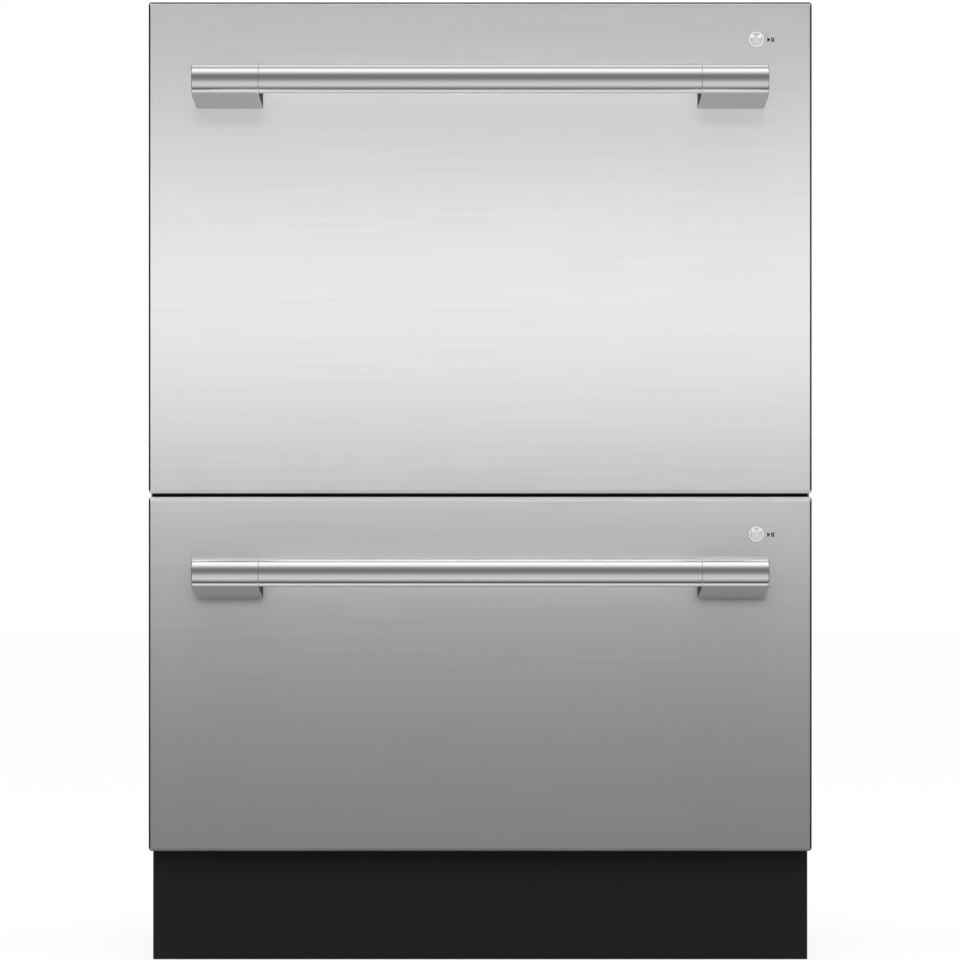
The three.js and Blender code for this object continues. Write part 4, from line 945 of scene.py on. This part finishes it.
def tub(bay):
    """A moulded shell with round feet to its walls, a lipped rim, a sump, rail seats and ribs."""
    low, high, middle = box(f"{bay}_tub")
    x1, y0, y1 = high.x - FLANGE, low.y + FLANGE, high.y - FLANGE
    under, rim = low.z + SUMP_DEPTH, high.z
    floor = under + WALL
    inner = SUMP_RADIUS - WALL

    def well(*rows):
        return [at(z, circle((0, middle.y), radius)) for radius, z in rows]

    def fillet(size, inset, level):
        turns = [math.radians(a) for a in (0, 22.5, 45, 67.5, 90)]
        return [(inset + size * (1 - math.sin(t)), level + size * (1 - math.cos(t))) for t in turns]

    lip = [(inset, rim + z) for inset, z in (
        (0, -6), (-0.4, -4), (-1.6, -3), (-7.4, -3), (-8, -2.4), (-8, -0.7), (-7.3, 0), (1.6, 0),
        (2.6, -0.4), (3, -1.4),
    )]
    rows = well((SUMP_RADIUS - 3, low.z), (SUMP_RADIUS, low.z + 3), (SUMP_RADIUS, under - 2),
                (SUMP_RADIUS + 2, under))
    rows += walls((-x1, x1), (y0, y1), TUB_CORNER,
                  fillet(14, 0, under) + lip + fillet(13, WALL, floor)[::-1])
    rows += well((inner + 1.5, floor), (inner, floor - 1.5), (inner, low.z + WALL + 4),
                 (inner - 4, low.z + WALL))
    seat_low, seat_high, _ = box(f"{bay}_dispenser_body")
    window = block((seat_low.x + 3.7, seat_high.x - 3.7), (low.y - 5, y0 + 4),
                   (seat_low.z + 3.7, seat_high.z - 3.7), 0)
    parts = [carved(shell(rows), [window])] + tub_fittings(bay, x1, y0, y1, floor, rim)
    weighted(bay_piece(bay, "tub_shell", together(parts), "tub_plastic", "tub"))


def tub_fittings(bay, x1, y0, y1, floor, rim):
    """Rail seats, pads for the frame, ledges for the basket, and ribs on the outside of the walls."""
    basket_low, basket_high, _ = basket_levels(bay)
    rail_z = box(f"{bay}_rail_inner_left")[2].z
    ledge_top = basket_low.z + 1 - 0.3
    reach = TUB_CORNER - math.sqrt(TUB_CORNER ** 2 - (PAD_X - PAD_WIDTH - x1 + TUB_CORNER) ** 2)
    parts = []
    for side in (-1, 1):
        def across(start, end):
            return (side * start, side * end)

        parts += [block(across(x1 - 1, x1 + FLANGE), around(y, 80), around(rail_z, 24))
                  for y in (y0 + 90, y1 - 95)]
        parts.append(block(across(PAD_X - PAD_WIDTH, PAD_X), (y0 - FLANGE, y0 + reach + 1),
                           (floor + 10, rim - 10)))
        parts += [block(across(x1 - WALL + 1, basket_high.x - 6.6), around(y, 30),
                        (ledge_top - 10, ledge_top), 1.5)
                  for y in (y0 + WALL + 70, y1 - WALL - 70)]
        for y in spread(y0 + 60, y1 - 60, 62):
            for start, end in ((floor + 14, rail_z - 28), (rail_z + 28, rim - 9)):
                if end - start > 20:
                    parts.append(block(across(x1 - 1, x1 + RIB_REACH), around(y, RIB), (start, end), 0.5))
    parts += [block(around(x, RIB), (y1 - 1, y1 + RIB_REACH), (floor + 14, rim - 9), 0.5)
              for x in spread(-x1 + 70, x1 - 70, 70)]
    return parts


SLOTS, SLOT_WIDTH, SLOT_END = 40, 2.2, 82
SLOT_STARTS = (30, 56)  # in turn


def filter_plate(bay):
    low, high, middle = box(f"{bay}_filter_plate")
    radius = high.x - middle.x
    bottom, top = low.z + 10, low.z + 12
    shoulder = box(f"{bay}_spray_arm")[0].z - 0.3
    skirt = SUMP_RADIUS - WALL - 0.3
    mesh = lathe([
        (0, bottom), (skirt - 2, bottom), (skirt - 2, low.z), (skirt, low.z), (skirt, bottom),
        (radius - 0.6, bottom), (radius, bottom + 0.6), (radius, top - 0.5), (radius - 0.5, top),
        (86, top), (85.4, top - 0.5), (25.6, top - 0.5), (25, top + 1.2), (23, top + 2.4),
        (14, top + 2.4), (12, top + 4), (12, shoulder - 0.6), (11.4, shoulder), (6, shoulder),
        (6, high.z - 1), (5, high.z), (0, high.z),
    ], "z", (middle.x, middle.y), 96)
    slots = []
    for i in range(SLOTS):
        slot = block((SLOT_STARTS[i % 2], SLOT_END), around(0, SLOT_WIDTH), (bottom - 1, top + 1), 0)
        slots.append(turned(slot, middle, i / SLOTS))
    bay_piece(bay, "filter", carved(mesh, slots), "filter_plastic", "filter_plate")


ARM_THICK, ARM_TIP, ARM_ROOT = 4, 14, 24  # half the arm's thickness, and of its width
NOZZLES = (65, 120, 175)


def spray_arm(bay):
    """An arm with a crowned section, round tips, a hub, and raised nozzles with slots."""
    low, high, (x, y, middle_z) = box(f"{bay}_spray_arm")
    straight = high.x - x - ARM_TIP
    turns = [math.radians(a) for a in (88, 78, 66, 52, 38, 24, 12, 0)]
    stations = [(straight + ARM_TIP * math.sin(t), ARM_TIP * math.cos(t)) for t in turns]
    stations += [(s * straight, ARM_TIP + (ARM_ROOT - ARM_TIP) * (1 - s))
                 for s in (0.8, 0.6, 0.4, 0.25, 0.12)]
    stations = stations + [(0, ARM_ROOT)] + [(-place, width) for place, width in reversed(stations)]
    rows = []
    for place, width in stations:
        row = []
        flat = min(1.0, 0.45 + width / ARM_TIP * 0.55) * ARM_THICK
        for i in range(28):
            u, v = math.cos(2 * math.pi * i / 28), math.sin(2 * math.pi * i / 28)
            across = math.copysign(abs(u) ** 0.75, u) * width
            row.append((x + place, y + across, middle_z + math.copysign(abs(v) ** 0.7, v) * flat))
        rows.append(row)
    parts = [carved(shell(rows, 40), [rod("z", 6.6, (low.z, high.z), (x, y))])]
    parts.append(lathe([
        (6.6, low.z), (22.5, low.z), (24, low.z + 1.5), (24, high.z - 5), (22.5, high.z - 3.2),
        (15, high.z - 2.6), (14, high.z - 0.8), (13, high.z), (7.4, high.z), (6.6, high.z - 0.8),
        (6.6, low.z),
    ], "z", (x, y)))
    top = middle_z + ARM_THICK
    for place in [x + side * reach for side in (-1, 1) for reach in NOZZLES]:
        boss = lathe([
            (0, middle_z), (6.5, middle_z), (6.5, top - 0.2), (5.8, top + 1.3), (5, top + 1.6),
            (0, top + 1.6),
        ], "z", (place, y), 32)
        slot = block(around(place, 2), around(y, 8), (top - 2.5, top + 3), 0)
        parts.append(carved(boss, [slot]))
    bay_piece(bay, "arm", together(parts, 40), "spray_plastic", "spray_arm", "spray_arm_body")


def dispenser_body(bay):
    """The dispenser's moulding with round edges."""
    mesh = welded(f"{bay}_dispenser_body")
    soften(mesh, 0.7, 2, 50)
    bay_piece(bay, "dispenser", mesh, "dispenser_plastic", "dispenser_body")


def dispenser_flap(bay):
    """The flap with its raised border, latch and finger ridges."""
    low, high, middle = box(f"{bay}_dispenser_flap")
    plate = block((low.x, high.x), (low.y, high.y), (low.z, high.z), 0.9, 3)
    inner = block((low.x + 6, high.x - 6), (high.y - 0.7, high.y + 1), (low.z + 6, high.z - 6), 0)
    parts = [carved(plate, [inner])]
    parts.append(block(around(middle.x, 22), (high.y - 0.5, high.y + 1.3), (high.z - 13, high.z - 8), 0.7))
    ridge = ((high.y - 0.8, high.y + 0.1), (low.z + 9, high.z - 18), 0.3)
    parts += [block(around(middle.x + i * 5, 1.2), *ridge) for i in range(-7, 8)]
    bay_piece(bay, "flap", together(parts), "dispenser_plastic", "dispenser_flap", "dispenser_flap_body")


COOLING_RIBS = 24


def wash_motor(bay):
    """The pump housing with its neck, clamping ring, cooling ribs and end cap."""
    low, high, middle = box(f"{bay}_wash_motor")
    radius = high.x - middle.x
    bottom, ring = low.z + 8, high.z - 6
    parts = [lathe([
        (0, low.z), (22, low.z), (24, low.z + 2), (24, bottom), (radius - 14, bottom),
        (radius - 9, bottom + 1.5), (radius - 8, ring), (radius, ring), (radius, high.z - 1.2),
        (radius - 1.2, high.z), (0, high.z),
    ], "z", (middle.x, middle.y), 72)]
    for i in range(COOLING_RIBS):
        rib = block((30, radius - 4), around(0, 2), (bottom + 0.5, high.z - 5), 0.4)
        parts.append(turned(rib, middle, i / COOLING_RIBS))
    bay_piece(bay, "motor", together(parts), "motor_plastic", "wash_motor")


# Cabinet

BEAD_DEPTH, BEAD_WIDTH, BEAD_SLOPE = 1.0, 10, 2.4


def cabinet_sheets():
    """The sheets of the sides and back and of the top, with beads pressed into them, and the screws."""
    low, high, middle = box("cabinet_wrapper")
    along = (low.z + 140, high.z - 90)
    beads = [bead("y", high.y, x, along) for x in (-190, 0, 190)]
    beads += [bead("x", side * high.x, y, along) for side in (-1, 1)
              for y in (low.y + 130, middle.y + 20, high.y - 100)]
    cabinet_sheet("cabinet_sheet", "cabinet_wrapper", beads)
    top_low, top_high, _ = box("cabinet_top")
    along = (top_low.y + 70, top_high.y - 70)
    beads = [bead("z", top_high.z, x, along) for x in (-200, -100, 0, 100, 200)]
    cabinet_sheet("cabinet_top_sheet", "cabinet_top", beads)
    screws = [screw_head(side, high.x, y, z) for side in (-1, 1) for y in (low.y + 14, high.y - 14)
              for z in (low.z + 90, low.z + 360, low.z + 600, high.z - 14)]
    piece("cabinet_screws", together(screws), "rail_steel", "chassis")


def cabinet_sheet(name, node, beads):
    mesh = carved(welded(node), beads, 15)
    weighted(piece(name, mesh, "cabinet_steel", "chassis", [node]))


def bead(axis, place, middle, along):
    """The cutter of a shallow groove with sloping sides in a face that looks along an axis."""
    turn = math.copysign(1, place)
    rows = []
    for level, inset in ((place + turn, 0), (place, 0), (place - turn * BEAD_DEPTH, BEAD_SLOPE)):
        half = BEAD_WIDTH / 2 - inset
        outline = rounded_rect(middle - half, middle + half, along[0] + inset, along[1] - inset,
                               half - 0.01, 6)
        rows.append([AXES[axis](u, v, level) for u, v in outline])
    return shell(rows)


def screw_head(side, x, y, z):
    return lathe([(radius, side * (x + height)) for radius, height in (
        (0, -0.5), (4.2, -0.5), (4.2, 0.35), (3.7, 0.95), (2.6, 1.3), (1.5, 1.35), (1.1, 0.5), (0, 0.5),
    )], "x", (y, z), 24)


def toe_kick():
    """A folded black panel; its lower edge stands just off the floor."""
    low, high, _ = box("toe_kick")
    mesh = block((low.x, high.x), (low.y, high.y), (0.15, high.z), 0.8, 3)
    weighted(piece("toe_panel", mesh, "black_steel", "chassis", ["toe_kick"]))


THREAD, THREAD_ROOT, PITCH = 4.95, 4.3, 2.0
NUT_RADIUS, NUT_HEIGHT = 10.9, 10


def levelling_foot(label):
    """A foot with a round pad, a hexagon to turn it by, and a threaded stem."""
    low, high, (x, y, _) = box(f"foot_{label}")
    radius = high.x - x
    pad = lathe([(r, low.z + z) for r, z in (
        (0, 0), (radius - 4, 0), (radius - 1, 0.8), (radius, 2), (radius, 4.5), (radius - 1, 6.2),
        (radius - 5, 7.2), (9, 8), (0, 8),
    )], "z", (x, y))
    top = box("base_tray")[0].z - 0.3
    nut = pushed(arc((x, y), NUT_RADIUS, 0, 300, 5), "z", top - NUT_HEIGHT, top)
    soften(nut, 0.8, 2)
    turns = []
    place = low.z + 7.5
    while place < high.z - PITCH:
        turns += [(THREAD_ROOT, place), (THREAD, place + 0.8), (THREAD, place + 1.2)]
        place += PITCH
    stem = lathe([(0, low.z + 7)] + turns + [(THREAD_ROOT, high.z - 0.6), (3.6, high.z), (0, high.z)],
                 "z", (x, y), 32)
    piece(f"foot_{label}_turned", together([pad, nut, stem], 30), "black_plastic", f"foot_{label}_body",
          [f"foot_{label}"])


# The scene

for row in frame["record"]["subparts"]:
    mesh = frame["nodes"][row["node"]].data
    mesh.materials.clear()
    mesh.materials.append(FINISHES[row["material_slot"]])

make_camera()
make_world()
make_floor()
fronts = [front_skin(bay) for bay in BAYS]
bars = [handle_bar(bay) for bay in BAYS]
posts, spigots = map(list, zip(*[handle_end(bay, *side) for bay in BAYS for side in SIDES]))
discs, rims = map(list, zip(*[start_button(bay) for bay in BAYS]))
for bay in BAYS:
    for make in (tub, filter_plate, spray_arm, wire_basket, folding_tines, dispenser_body,
                 dispenser_flap, wash_motor):
        make(bay)
cutlery_basket("upper")
cabinet_sheets()
toe_kick()
for label in ("front_left", "front_right", "rear_left", "rear_right"):
    levelling_foot(label)

only_fronts = group("only_fronts", fronts)
past_bars = group("past_bars", bars + spigots, exclude=True)
past_posts = group("past_bars_and_upper_posts", bars + spigots + posts[:2], exclude=True)
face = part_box("upper_front_skin")[0].y
for level, tall, power, blocked in STRIPS:
    area_light(f"strip_{level}", (0, STRIP_PLACE, level), (0, face, level), STRIP_WIDTH, tall, power,
               only_fronts, past_bars if blocked else past_posts, "Linear")
area_light("bend_glint", *BEND_GLINT, only_fronts, past_bars)
dull = group("dull", fronts + bars + posts + spigots + discs + rims, exclude=True)
area_light("overhead", *OVERHEAD, dull)
area_light("fill", *FILL, dull)
for i, (bay, bar) in enumerate(zip(BAYS, bars)):
    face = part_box(f"{bay}_front_skin")[0].y
    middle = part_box(f"{bay}_handle_bar")[0].z - UNDERGLOW_DROP
    handle = group(f"{bar.name}_handle", [bar] + posts[2 * i:2 * i + 2])
    area_light(f"{bar.name}_underglow", (0, face - 0.5 * MM, middle), (0, face - 1, middle), *UNDERGLOW,
               handle)
for bay, disc, rim in zip(BAYS, discs, rims):
    low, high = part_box(f"{bay}_start_button")
    button = (low + high) / 2
    for lit, lights in ((disc, DISC_LIGHTS), (rim, RIM_LIGHTS)):
        receivers = group(f"{lit.name}_only", [lit])
        for offset, size, power in lights:
            area_light(f"{lit.name}_light", button + Vector(offset), button, size, size, power, receivers,
                       fade="Constant")

bpy.context.scene.view_settings.view_transform = "Standard"
